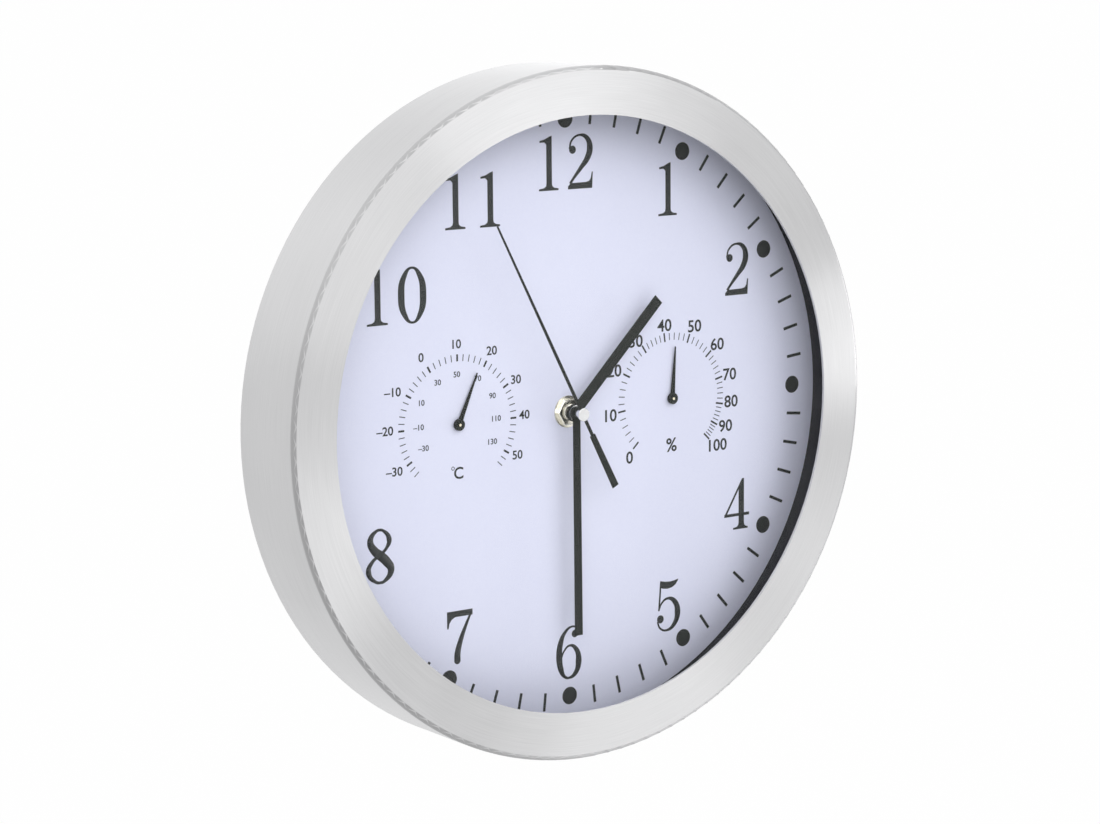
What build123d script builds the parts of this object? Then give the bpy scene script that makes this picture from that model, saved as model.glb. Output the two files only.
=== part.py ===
from build123d import *
from math import cos, radians, sin
import os

# A wall clock 30 cm across, with a thermometer and a hygrometer let into its dial.
# Lengths are in millimetres and angles in degrees. Z is up, the dial faces -Y and the wall is
# the plane Y = 0. The origin is the nail that the clock hangs on, in the plane of the wall.
# A height is counted from the wall towards the viewer. A place in the face plane is
# (right, up) from the dial's axis, and an angle there runs counter-clockwise from the right.

# Turns, and fits that many pieces share
half_turn = 180.0
full_turn = 360.0
running_clearance = 0.05
seat_clearance = 0.02
loose_clearance = 0.3
pilot_depth = 1.6

# Case: a spun band whose front edge turns inward into a flat bezel, with screw tabs behind
case_radius = 150.0
case_depth = 41.5
case_sheet = 1.2
case_edge_radius = 2.0
bezel_width = 20.9
bezel_opening_radius = case_radius - bezel_width
tab_count = 6
tab_first_angle = 30.0
tab_reach = 10.5
tab_width = 14.0
tab_corner_radius = 3.0
tab_setback = 2.6
tab_hole_radius = 1.7

# Front glass and the moulded pan that presses it against the bezel
glass_thickness = 2.0
glass_inset = 7.0
glass_radius = case_radius - glass_inset
glass_gap = 0.3
well_inset = 10.4
well_radius = case_radius - well_inset
dial_recess = 20.3
pan_wall = 2.4
pan_floor = 2.0
pan_gap = 0.4
skirt_wall = 2.0
boss_radius = 3.4
rib_width = 1.6
rib_height = 3.0
rib_clearance = 2.0
gusset_count = 24
gusset_height = 12.0
radial_rib_count = 12
locator_length = 24.0

# Dial sheet, and the hand-shaft hole through it and the pan
dial_thickness = 0.8
dial_edge_gap = 0.3
shaft_hole_radius = 4.0

# Screws through the case tabs
screw_radius = 1.45
screw_head_radius = 2.8
screw_head_height = 1.8
screw_head_round = 0.8
screw_length = 9.0

# Hanger box around the nail
nail_inset = 38.0
seat_height = case_radius - nail_inset
hanger_width = 26.0
hanger_above = 16.0
hanger_below = 22.0
hanger_wall = 1.6
hanger_plate = 2.0
hanger_setback = 2.0
hanger_corner_radius = 3.0
hanger_ear_radius = 4.5
hanger_screw_radius = 1.2
hanger_screw_head_radius = 2.3
hanger_screw_head_height = 1.4
keyhole_entry_radius = 4.5
keyhole_slot_radius = 2.3
keyhole_drop = 12.0

# Quartz movement
movement_depth = 15.6
movement_corner = 3.0
movement_wall = 1.4
bay_end_room = 2.7
chamber_room = 3.4
stator_room = 1.1
gasket_thickness = 0.5
gasket_radius = 15.0
cover_thickness = 1.2
cover_lip_height = 1.0
cover_lip_width = 1.0
cover_gap = 0.1
finger_notch_width = 16.0
finger_notch_depth = 5.0
post_radius = 1.5
post_inset = 2.1

# Threaded nose, washer and nut that clamp the dial to the movement
nose_radius = 3.75
nose_reach = 3.3
washer_radius = 7.0
washer_thickness = 0.5
nut_across_flats = 11.0
nut_thickness = 1.9
nut_chamfer = 0.35

# Battery and its contacts
battery_radius = 7.15
battery_length = 50.5
battery_nub_radius = 2.6
battery_nub_length = 1.0
battery_edge_radius = 0.8
battery_side_gap = 0.2
contact_sheet = 0.4
contact_width = 9.0
contact_height = 11.0
contact_gap = 0.1

# Gear train: teeth and modules, from the rotor to the hour wheel
rotor_teeth = 8
step_teeth = 48
step_pinion_teeth = 12
second_teeth = 60
second_pinion_teeth = 8
third_teeth = 60
third_pinion_teeth = 8
centre_teeth = 64
cannon_teeth = 10
minute_wheel_teeth = 30
minute_pinion_teeth = 8
hour_teeth = 32
setting_teeth = 12
rotor_module = 0.25
train_module = 0.3
motion_module = 0.45
addendum_share = 0.75
dedendum_share = 1.05
tooth_root_share = 0.46
tooth_tip_share = 0.2
half_tooth_share = 0.5
wheel_thickness = 0.8
layer_gap = 0.8
pinion_overhang = 0.2
hour_wheel_gap = 0.3
bearing_thickness = 1.2
web_hole_share = 0.22
web_ring_share = 0.58
web_hole_count = 5
pivot_depth = 0.7

# Arbors, pipes and the directions in which the train leads
second_arbor_radius = 0.5
minute_pipe_radius = 1.25
hour_pipe_radius = 2.0
train_arbor_radius = 0.4
motion_post_radius = 0.8
setting_arbor_radius = 1.5
step_direction = 0.0
rotor_direction = 60.0
third_direction = 150.0
minute_wheel_direction = 270.0
setting_direction = 180.0

# Stepping motor
magnet_radius = 2.0
magnet_height = 1.3
magnet_gap = 0.2
stator_thickness = 0.8
stator_hole_gap = 0.5
stator_ring_width = 1.1
stator_bar_width = 4.4
stator_lug_width = 4.5
stator_top = 16.5
stator_bottom = -9.0
coil_wall_gap = 2.0
core_width = 2.2
core_thickness = 0.8
bobbin_flange = 4.2
bobbin_flange_thickness = 0.8
bobbin_sleeve = 0.3
winding_size = 3.8

# Circuit board and what is on it
board_width = 7.0
board_length = 26.5
board_thickness = 1.0
board_middle = -0.75
board_inset = 0.4
chip_radius = 2.8
chip_height = 1.0
chip_up = 6.0
crystal_radius = 1.0
crystal_length = 6.0
crystal_up = -2.0

# Setting knob
knob_radius = 5.0
knob_thickness = 1.2
knob_flute_count = 20
knob_flute_radius = 0.5

# Hands, at the moment shown: 1:29:55
hour_angle = 44.9
minute_angle = 179.8
second_angle = 332.6
hour_hand_gap = 1.5
hour_hub_radius = 3.85
hour_hub_height = 1.2
hour_blade_width = 5.0
hour_blade_thickness = 0.5
hour_blade_lift = 0.4
hour_hand_share = 0.43333
minute_hub_radius = 3.0
minute_hub_height = 1.0
minute_blade_width = 3.75
minute_tip_width = 4.05
minute_blade_thickness = 0.4
minute_blade_lift = 0.3
minute_hand_share = 0.65533
second_tube_radius = 1.8
second_tube_height = 3.7
second_neck_radius = 1.2
second_blade_thickness = 0.5
second_eye_radius = 2.4
second_hand_share = 0.63
second_tip_width = 0.7
second_shoulder = 28.0
second_shoulder_width = 1.3
second_neck_width = 1.4
second_tail_start = 10.7
second_tail_start_width = 2.75
second_tail_length = 37.5
second_tail_width = 3.35
second_cap_radius = 2.9
second_cap_height = 0.6
second_cap_round = 0.25

# Thermometer and hygrometer, each a cup behind the pan with a spiral strip that turns a pointer
gauge_room = 8.0
thermometer_rise = 0.0
hygrometer_rise = 0.3
thermometer_reading_angle = 24.2
hygrometer_reading_angle = 4.2
thermometer_pointer_length = 23.4
hygrometer_pointer_length = 23.2
thermometer_half_turns = 9
hygrometer_half_turns = 13
cup_radius = 16.2
cup_wall = 1.5
cup_depth = 10.0
cup_flange_radius = 21.0
cup_flange_thickness = 1.6
cup_boss_radius = 2.6
cup_boss_height = 0.6
vent_count = 6
vent_width = 2.4
vent_length = 6.0
vent_middle_radius = 9.5
gauge_screw_radius = 0.9
gauge_screw_head_radius = 1.7
gauge_screw_head_height = 1.1
gauge_screw_count = 3
gauge_screw_angle = 90.0
gauge_arbor_radius = 0.6
gauge_collet_radius = 1.8
gauge_hole_radius = 1.6
strip_thickness = 0.4
strip_width = 4.0
strip_inner_gap = 0.1
strip_rise = 1.0
thermometer_strip_growth = 1.05
hygrometer_strip_growth = 0.7
strip_post_radius = 1.0
pointer_hub_radius = 2.5
pointer_hub_height = 1.2
pointer_lift = 0.4
pointer_blade_thickness = 0.3
pointer_blade_lift = 0.3
pointer_root_width = 2.4
pointer_tip_width = 0.5
pointer_pin_reach = 0.3

# Lengths that follow the case
hour_hand_length = hour_hand_share * case_radius
minute_hand_length = minute_hand_share * case_radius
second_hand_length = second_hand_share * case_radius
ring_rib_radius = seat_height - hanger_below - rib_clearance

# The movement is as wide as its battery needs, and the gauges lie beside it
inner_half = (battery_length + bay_end_room) / 2
movement_width = 2 * (inner_half + movement_wall)
shaft_from_top = stator_top + stator_room + movement_wall
gauge_distance = movement_width / 2 + cup_flange_radius + gauge_room

# Planes: across the dial's axis, and through it
axis_foot = Vector(0, 0, -seat_height)
face = Plane(origin=axis_foot, x_dir=(1, 0, 0), z_dir=(0, -1, 0))
section = Plane(origin=axis_foot, x_dir=(1, 0, 0), z_dir=(0, 0, -1))
dial_axis = Axis(axis_foot, (0, -1, 0))

# Heights of the fixed stack, from the bezel back to the movement
bezel_back = case_depth - case_sheet
glass_back = bezel_back - glass_thickness
dial_front = case_depth - dial_recess
dial_back = dial_front - dial_thickness
floor_back = dial_back - pan_floor
movement_front = floor_back - gasket_thickness
movement_back = movement_front - movement_depth
tab_front = tab_setback + case_sheet

# Heights of the hands above the threaded nose
nose_top = dial_front + nose_reach
hour_hub_base = nose_top + hour_hand_gap
hour_hub_top = hour_hub_base + hour_hub_height
minute_hub_base = hour_hub_top + loose_clearance
minute_hub_top = minute_hub_base + minute_hub_height
second_tube_base = minute_hub_top + loose_clearance
second_blade_base = second_tube_base + second_tube_height
second_blade_top = second_blade_base + second_blade_thickness

# Heights of the wheels, from the movement's front wall back
front_inner = movement_front - movement_wall
cover_inner = movement_back + cover_thickness
layer_step = wheel_thickness + layer_gap
hour_wheel_base = front_inner - hour_wheel_gap - wheel_thickness
minute_wheel_base = hour_wheel_base - layer_step
centre_wheel_base = minute_wheel_base - layer_step
third_wheel_base = centre_wheel_base - layer_step
second_wheel_base = third_wheel_base - layer_step
step_wheel_base = second_wheel_base - layer_step
bearing_top = step_wheel_base - layer_gap
bearing_base = bearing_top - bearing_thickness
pivot_top = front_inner + pivot_depth

# Places of the arbors, each at the distance that its gears need
def beside(place, distance, direction):
    """The place at a distance from another one, in a direction given as an angle."""
    return (place[0] + distance * cos(radians(direction)), place[1] + distance * sin(radians(direction)))


def gear_distance(module, teeth, mating_teeth):
    """Distance between the arbors of two gears in mesh."""
    return module * (teeth + mating_teeth) / 2


centre = (0, 0)
third_distance = gear_distance(train_module, second_pinion_teeth, third_teeth)
centre_module = 2 * third_distance / (third_pinion_teeth + centre_teeth)
step_place = beside(centre, gear_distance(train_module, step_pinion_teeth, second_teeth), step_direction)
rotor_place = beside(step_place, gear_distance(rotor_module, rotor_teeth, step_teeth), rotor_direction)
third_place = beside(centre, third_distance, third_direction)
minute_wheel_place = beside(
    centre, gear_distance(motion_module, cannon_teeth, minute_wheel_teeth), minute_wheel_direction
)
setting_place = beside(
    minute_wheel_place, gear_distance(motion_module, minute_wheel_teeth, setting_teeth), setting_direction
)


# Heights above the shaft of the mechanism chamber, which clears the minute wheel, and of the
# battery bay below it
minute_wheel_reach = motion_module * (minute_wheel_teeth / 2 + addendum_share)
chamber_bottom = minute_wheel_place[1] - minute_wheel_reach - chamber_room
bay_top = chamber_bottom - movement_wall
bay_bottom = bay_top - 2 * (battery_radius + battery_side_gap)
movement_length = shaft_from_top - bay_bottom + movement_wall
movement_middle = shaft_from_top - movement_length / 2


def meshed(teeth, phase, direction, mating_teeth):
    """Angle of a tooth of the second gear, so that its gap faces a tooth of the first.

    The direction is that from the first gear's arbor to the second's.
    """
    turned = (direction - phase) * teeth / full_turn
    return direction + half_turn - (half_tooth_share - turned) * full_turn / mating_teeth


step_phase = 0.0
rotor_phase = meshed(step_teeth, step_phase, rotor_direction + half_turn, rotor_teeth)
step_pinion_phase = 0.0
second_phase = meshed(step_pinion_teeth, step_pinion_phase, step_direction + half_turn, second_teeth)
second_pinion_phase = 0.0
third_phase = meshed(second_pinion_teeth, second_pinion_phase, third_direction, third_teeth)
third_pinion_phase = 0.0
centre_phase = meshed(third_pinion_teeth, third_pinion_phase, third_direction + half_turn, centre_teeth)
cannon_phase = 0.0
minute_wheel_phase = meshed(cannon_teeth, cannon_phase, minute_wheel_direction, minute_wheel_teeth)
minute_pinion_phase = 0.0
hour_phase = meshed(minute_pinion_teeth, minute_pinion_phase, minute_wheel_direction + half_turn, hour_teeth)
setting_phase = meshed(minute_wheel_teeth, minute_wheel_phase, setting_direction, setting_teeth)


def clock_plane(angle, height, place=(0, 0)):
    """Plane at a place and height, whose x axis points the way of a hand at this clock angle."""
    return Plane(
        origin=face.offset(height).from_local_coords(place),
        x_dir=(sin(radians(angle)), 0, cos(radians(angle))),
        z_dir=face.z_dir,
    )


def bar(radius, base, top, place=(0, 0), mode=Mode.ADD):
    """Adds a round bar, or cuts a round hole, between two heights."""
    with BuildSketch(face.offset(base)) as outline:
        with Locations(place):
            Circle(radius)
    extrude(outline.sketch, amount=top - base, mode=mode)


def block(width, length, base, top, place=(0, 0), corner=0, mode=Mode.ADD):
    """Adds or cuts a rectangular block between two heights, with round corners if asked."""
    with BuildSketch(face.offset(base)) as outline:
        with Locations(place):
            if corner:
                RectangleRounded(width, length, corner)
            else:
                Rectangle(width, length)
    extrude(outline.sketch, amount=top - base, mode=mode)


def gear(module, teeth, phase, base, top, place=(0, 0)):
    """Adds a gear with straight-flanked teeth, four corners to a tooth."""
    pitch_radius = module * teeth / 2
    tip_radius = pitch_radius + addendum_share * module
    root_radius = pitch_radius - dedendum_share * module
    corners = (
        (root_radius, -tooth_root_share),
        (tip_radius, -tooth_tip_share),
        (tip_radius, tooth_tip_share),
        (root_radius, tooth_root_share),
    )
    with BuildSketch(face.offset(base)) as outline:
        with BuildLine():
            Polyline(
                *[
                    beside(place, radius, phase + (tooth + share / 2) * full_turn / teeth)
                    for tooth in range(teeth)
                    for radius, share in corners
                ],
                close=True,
            )
        make_face()
    extrude(outline.sketch, amount=top - base)


def web_holes(module, teeth, base, top, place=(0, 0)):
    """Cuts the ring of round holes that lightens a wheel's web."""
    pitch_radius = module * teeth / 2
    with BuildSketch(face.offset(base)) as outline:
        with Locations(place):
            with PolarLocations(web_ring_share * pitch_radius, web_hole_count):
                Circle(web_hole_share * pitch_radius)
    extrude(outline.sketch, amount=top - base, mode=Mode.SUBTRACT)


os.makedirs("parts", exist_ok=True)

# Case ring: the band and bezel in one spin, then the tabs bent in from the band
band_inner = case_radius - case_sheet
skirt_outer = band_inner - pan_gap
skirt_inner = skirt_outer - skirt_wall
well_outer = well_radius + pan_wall
boss_ring_radius = (well_outer + skirt_inner) / 2
tab_root_radius = case_radius - case_sheet / 2
with BuildPart() as case_ring:
    with BuildSketch(section) as case_profile:
        with BuildLine():
            Polyline(
                (case_radius, 0),
                (case_radius, case_depth),
                (bezel_opening_radius, case_depth),
                (bezel_opening_radius, bezel_back),
                (band_inner, bezel_back),
                (band_inner, 0),
                close=True,
            )
        make_face()
        outer_corner = case_profile.vertices().group_by(Axis.X)[-1].sort_by(Axis.Y)[-1]
        inner_corner = case_profile.vertices().group_by(Axis.X)[1].sort_by(Axis.Y)[-1]
        fillet(outer_corner, case_edge_radius)
        fillet(inner_corner, case_edge_radius - case_sheet)
    revolve(axis=dial_axis)
    with BuildSketch(face.offset(tab_setback)) as tabs:
        with PolarLocations(tab_root_radius - tab_reach / 2, tab_count, start_angle=tab_first_angle):
            Rectangle(tab_reach, tab_width)
        fillet(
            tabs.vertices().filter_by(lambda corner: Vector(corner).length < boss_ring_radius),
            tab_corner_radius,
        )
        with PolarLocations(boss_ring_radius, tab_count, start_angle=tab_first_angle):
            Circle(tab_hole_radius, mode=Mode.SUBTRACT)
    extrude(amount=case_sheet)
case_ring.part.label = "case_ring"
export_step(case_ring.part, "parts/case_ring.step")

# Front glass, face to face with the back of the bezel
with BuildPart() as front_glass:
    bar(glass_radius, glass_back, bezel_back)
front_glass.part.label = "front_glass"
export_step(front_glass.part, "parts/front_glass.step")

# Rear pan, rim: well wall, shelf under the glass and skirt inside the band in one spin, with
# bosses and gussets in the channel between wall and skirt
shelf_back = glass_back - pan_wall
with BuildPart() as pan_rim:
    with BuildSketch(section):
        with BuildLine():
            Polyline(
                (well_radius, dial_back),
                (well_outer, dial_back),
                (well_outer, shelf_back),
                (skirt_inner, shelf_back),
                (skirt_inner, tab_front),
                (skirt_outer, tab_front),
                (skirt_outer, bezel_back - case_edge_radius),
                (skirt_outer - case_edge_radius, bezel_back),
                (glass_radius + glass_gap, bezel_back),
                (glass_radius + glass_gap, glass_back),
                (well_radius, glass_back),
                close=True,
            )
        make_face()
    revolve(axis=dial_axis)
    with BuildSketch(face.offset(tab_front)):
        with PolarLocations(boss_ring_radius, tab_count, start_angle=tab_first_angle):
            Circle(boss_radius)
    extrude(amount=shelf_back - tab_front)
    with BuildSketch(face.offset(shelf_back - gusset_height)):
        with PolarLocations(boss_ring_radius, gusset_count):
            Rectangle(skirt_inner - well_outer, rib_width)
    extrude(amount=gusset_height)
    with BuildSketch(face.offset(tab_front)):
        with PolarLocations(boss_ring_radius, tab_count, start_angle=tab_first_angle):
            Circle(screw_radius + seat_clearance)
    extrude(amount=screw_length, mode=Mode.SUBTRACT)
pan_rim.part.label = "pan_rim"
export_step(pan_rim.part, "parts/pan_rim.step")

# Rear pan, floor: a ribbed disc under the well wall, notched for the rim's bosses. Its ribs stop
# short of the gauge cups, the hanger box and the movement.
gauge_screw_ring = (cup_radius + cup_flange_radius) / 2
gauges = (
    ("thermometer", (-gauge_distance, thermometer_rise)),
    ("hygrometer", (gauge_distance, hygrometer_rise)),
)
gauge_places = [place for name, place in gauges]
hanger_length = hanger_above + hanger_below
hanger_place = (0, seat_height + (hanger_above - hanger_below) / 2)
hanger_ear_places = [
    (side * (hanger_width / 2 + hanger_ear_radius - hanger_wall), seat_height) for side in (-1, 1)
]
with BuildPart() as rear_pan:
    bar(well_outer, floor_back, dial_back)
    with BuildSketch(face.offset(floor_back - rib_height)):
        Circle(ring_rib_radius + rib_width / 2)
        Circle(ring_rib_radius - rib_width / 2, mode=Mode.SUBTRACT)
        rib_middle = (ring_rib_radius + well_outer) / 2 - rib_width / 2
        with PolarLocations(rib_middle, radial_rib_count, start_angle=half_turn / radial_rib_count):
            Rectangle(well_outer - ring_rib_radius - rib_width, rib_width)
        with Locations(gauge_places):
            Circle(cup_flange_radius + rib_clearance, mode=Mode.SUBTRACT)
        with Locations(hanger_place):
            Rectangle(
                hanger_width + rib_clearance,
                hanger_length + rib_clearance,
                mode=Mode.SUBTRACT,
            )
        with Locations((0, movement_middle)):
            Rectangle(
                movement_width + rib_clearance,
                movement_length + rib_clearance,
                mode=Mode.SUBTRACT,
            )
    extrude(amount=rib_height)
    for side in (-1, 1):
        locator_up = movement_middle + side * (movement_length / 2 + loose_clearance + rib_width / 2)
        block(locator_length, rib_width, floor_back - rib_height, floor_back, (0, locator_up))
    bar(shaft_hole_radius, floor_back, dial_back, mode=Mode.SUBTRACT)
    with BuildSketch(face.offset(floor_back - rib_height)):
        with PolarLocations(boss_ring_radius, tab_count, start_angle=tab_first_angle):
            Circle(boss_radius)
    extrude(amount=rib_height + pan_floor, mode=Mode.SUBTRACT)
    for place in gauge_places:
        bar(gauge_arbor_radius + running_clearance, floor_back, dial_back, place, Mode.SUBTRACT)
        with BuildSketch(face.offset(floor_back)):
            with Locations(place):
                with PolarLocations(gauge_screw_ring, gauge_screw_count, start_angle=gauge_screw_angle):
                    Circle(gauge_screw_radius + seat_clearance)
        extrude(amount=pilot_depth, mode=Mode.SUBTRACT)
    for place in hanger_ear_places:
        bar(hanger_screw_radius + seat_clearance, floor_back, floor_back + pilot_depth, place, Mode.SUBTRACT)
rear_pan.part.label = "rear_pan"
export_step(rear_pan.part, "parts/rear_pan.step")

# Six screws through the case tabs into the pan's bosses
with BuildPart() as pan_screws:
    with BuildSketch(face.offset(tab_setback - screw_head_height)):
        with PolarLocations(boss_ring_radius, tab_count, start_angle=tab_first_angle):
            Circle(screw_head_radius)
    extrude(amount=screw_head_height)
    head_rims = pan_screws.edges().filter_by(GeomType.CIRCLE).group_by(Axis.Y)[-1]
    fillet(head_rims, screw_head_round)
    with BuildSketch(face.offset(tab_setback)):
        with PolarLocations(boss_ring_radius, tab_count, start_angle=tab_first_angle):
            Circle(screw_radius)
    extrude(amount=screw_length)
pan_screws.part.label = "pan_screws"
export_step(pan_screws.part, "parts/pan_screws.step")

# Hanger box: an open-fronted box on the pan, whose back plate has the keyhole for the nail
hanger_inner_back = hanger_setback + hanger_plate
with BuildPart() as hanger_box:
    block(hanger_width, hanger_length, hanger_setback, floor_back, hanger_place, hanger_corner_radius)
    for place in hanger_ear_places:
        bar(hanger_ear_radius, floor_back - hanger_plate, floor_back, place)
    block(
        hanger_width - 2 * hanger_wall,
        hanger_length - 2 * hanger_wall,
        hanger_inner_back,
        floor_back,
        hanger_place,
        hanger_corner_radius - hanger_wall,
        Mode.SUBTRACT,
    )
    with BuildSketch(face.offset(hanger_setback)):
        with Locations((0, seat_height)):
            Circle(keyhole_slot_radius)
        with Locations((0, seat_height - keyhole_drop / 2)):
            Rectangle(2 * keyhole_slot_radius, keyhole_drop)
        with Locations((0, seat_height - keyhole_drop)):
            Circle(keyhole_entry_radius)
    extrude(amount=hanger_plate, mode=Mode.SUBTRACT)
    for place in hanger_ear_places:
        bar(
            hanger_screw_radius + running_clearance,
            floor_back - hanger_plate,
            floor_back,
            place,
            Mode.SUBTRACT,
        )
hanger_box.part.label = "hanger_box"
export_step(hanger_box.part, "parts/hanger_box.step")

# Two screws that hold the hanger box to the pan
with BuildPart() as hanger_screws:
    ear_back = floor_back - hanger_plate
    for place in hanger_ear_places:
        bar(hanger_screw_head_radius, ear_back - hanger_screw_head_height, ear_back, place)
        bar(hanger_screw_radius, ear_back, floor_back + pilot_depth, place)
hanger_screws.part.label = "hanger_screws"
export_step(hanger_screws.part, "parts/hanger_screws.step")

# Dial sheet, flat on the floor of the pan
with BuildPart() as dial_plate:
    bar(well_radius - dial_edge_gap, dial_back, dial_front)
    bar(shaft_hole_radius, dial_back, dial_front, mode=Mode.SUBTRACT)
    for place in gauge_places:
        bar(gauge_hole_radius, dial_back, dial_front, place, Mode.SUBTRACT)
dial_plate.part.label = "dial_plate"
export_step(dial_plate.part, "parts/dial_plate.step")

# Movement housing: a mechanism chamber above a battery bay, both open to the back
battery_up = (bay_bottom + bay_top) / 2
battery_height = front_inner - battery_side_gap - battery_radius
chamber_top = shaft_from_top - movement_wall
chamber_length = chamber_top - chamber_bottom
chamber_middle = (chamber_top + chamber_bottom) / 2
cover_length = shaft_from_top - bay_top
cover_middle = (shaft_from_top + bay_top) / 2
bearing_left = loose_clearance - inner_half
bearing_right = rotor_place[0] + stator_hole_gap + magnet_radius + train_arbor_radius
post_places = [
    (across, up)
    for across in (bearing_left + post_inset, bearing_right - post_inset)
    for up in (chamber_bottom + post_inset, chamber_top - post_inset)
]
train_places = (step_place, third_place, rotor_place)
with BuildPart() as movement_housing:
    block(
        movement_width,
        movement_length,
        movement_back,
        movement_front,
        (0, movement_middle),
        movement_corner,
    )
    block(
        2 * inner_half, chamber_length, movement_back, front_inner, (0, chamber_middle), mode=Mode.SUBTRACT
    )
    block(
        2 * inner_half, bay_top - bay_bottom, movement_back, front_inner, (0, battery_up), mode=Mode.SUBTRACT
    )
    block(movement_width, cover_length, movement_back, cover_inner, (0, cover_middle), mode=Mode.SUBTRACT)
    block(
        finger_notch_width,
        2 * movement_wall,
        movement_back,
        movement_back + finger_notch_depth,
        (0, bay_bottom),
        mode=Mode.SUBTRACT,
    )
    for place in post_places:
        bar(post_radius, bearing_top, front_inner, place)
    bar(motion_post_radius, minute_wheel_base - loose_clearance, front_inner, minute_wheel_place)
    bar(nose_radius + seat_clearance, front_inner, movement_front, mode=Mode.SUBTRACT)
    for place in train_places:
        bar(
            train_arbor_radius + running_clearance,
            front_inner,
            pivot_top + running_clearance,
            place,
            Mode.SUBTRACT,
        )
movement_housing.part.label = "movement_housing"
export_step(movement_housing.part, "parts/movement_housing.step")

# Cover of the mechanism chamber, with a lip inside the chamber's walls
with BuildPart() as movement_cover:
    with BuildSketch(face.offset(movement_back)) as cover_outline:
        with Locations((0, cover_middle)):
            Rectangle(movement_width, cover_length)
        fillet(cover_outline.vertices().sort_by(Axis.Y)[-2:], movement_corner)
    extrude(amount=cover_thickness)
    lip_top = cover_inner + cover_lip_height
    lip_size = (2 * (inner_half - cover_gap), chamber_length - 2 * cover_gap)
    block(*lip_size, cover_inner, lip_top, (0, chamber_middle))
    block(
        lip_size[0] - 2 * cover_lip_width,
        lip_size[1] - 2 * cover_lip_width,
        cover_inner,
        lip_top,
        (0, chamber_middle),
        mode=Mode.SUBTRACT,
    )
    bar(
        setting_arbor_radius + running_clearance,
        movement_back,
        cover_inner,
        setting_place,
        Mode.SUBTRACT,
    )
movement_cover.part.label = "movement_cover"
export_step(movement_cover.part, "parts/movement_cover.step")

# Threaded nose that the hand shafts come out of
with BuildPart() as threaded_nose:
    bar(nose_radius, front_inner, nose_top)
    chamfer(threaded_nose.edges().group_by(Axis.Y)[0], nut_chamfer)
    bar(hour_pipe_radius + running_clearance, front_inner, nose_top, mode=Mode.SUBTRACT)
threaded_nose.part.label = "threaded_nose"
export_step(threaded_nose.part, "parts/threaded_nose.step")

# Rubber gasket between the movement and the pan
with BuildPart() as movement_gasket:
    bar(gasket_radius, movement_front, floor_back)
    bar(shaft_hole_radius, movement_front, floor_back, mode=Mode.SUBTRACT)
movement_gasket.part.label = "movement_gasket"
export_step(movement_gasket.part, "parts/movement_gasket.step")

# Washer and hex nut on the front of the dial
washer_front = dial_front + washer_thickness
with BuildPart() as dial_washer:
    bar(washer_radius, dial_front, washer_front)
    bar(nose_radius + seat_clearance, dial_front, washer_front, mode=Mode.SUBTRACT)
dial_washer.part.label = "dial_washer"
export_step(dial_washer.part, "parts/dial_washer.step")

with BuildPart() as hex_nut:
    with BuildSketch(face.offset(washer_front)):
        RegularPolygon(nut_across_flats / 2, 6, major_radius=False)
    extrude(amount=nut_thickness)
    chamfer(hex_nut.edges().group_by(Axis.Y)[0], nut_chamfer)
    bar(nose_radius + seat_clearance, washer_front, washer_front + nut_thickness, mode=Mode.SUBTRACT)
hex_nut.part.label = "hex_nut"
export_step(hex_nut.part, "parts/hex_nut.step")

# Bearing plate that carries the rear pivots of the train
with BuildPart() as bearing_plate:
    block(
        bearing_right - bearing_left,
        chamber_length - 2 * loose_clearance,
        bearing_base,
        bearing_top,
        ((bearing_left + bearing_right) / 2, chamber_middle),
    )
    bar(second_arbor_radius + running_clearance, bearing_base, bearing_top, mode=Mode.SUBTRACT)
    for place in train_places:
        bar(train_arbor_radius + running_clearance, bearing_base, bearing_top, place, Mode.SUBTRACT)
    bar(
        setting_arbor_radius + running_clearance, bearing_base, bearing_top, setting_place, Mode.SUBTRACT
    )
bearing_plate.part.label = "bearing_plate"
export_step(bearing_plate.part, "parts/bearing_plate.step")

# Stepping motor: a stator plate around the rotor and a core with its bobbin and winding
stator_base = bearing_base - stator_thickness
stator_hole_radius = magnet_radius + stator_hole_gap
stator_left = rotor_place[0] - stator_bar_width / 2
coil_across = inner_half - coil_wall_gap - bobbin_flange / 2
lug_right = coil_across + core_width
lug_length = lug_right - stator_left
with BuildPart() as stator:
    with BuildSketch(face.offset(stator_base)):
        with Locations((rotor_place[0], (stator_top + stator_bottom) / 2)):
            Rectangle(stator_bar_width, stator_top - stator_bottom)
        with Locations(rotor_place):
            Circle(stator_hole_radius + stator_ring_width)
        for lug_up in (stator_top - stator_lug_width / 2, stator_bottom + stator_lug_width / 2):
            with Locations((stator_left + lug_length / 2, lug_up)):
                Rectangle(lug_length, stator_lug_width)
        with Locations(rotor_place):
            Circle(stator_hole_radius, mode=Mode.SUBTRACT)
    extrude(amount=stator_thickness)
stator.part.label = "stator"
export_step(stator.part, "parts/stator.step")

core_height = bearing_base + core_thickness / 2
core_place = (coil_across, core_height)
with BuildPart() as coil_core:
    with BuildSketch(section.offset(-stator_top)):
        with Locations(core_place):
            Rectangle(core_width, core_thickness)
    extrude(amount=stator_top - stator_bottom)
coil_core.part.label = "coil_core"
export_step(coil_core.part, "parts/coil_core.step")

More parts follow.
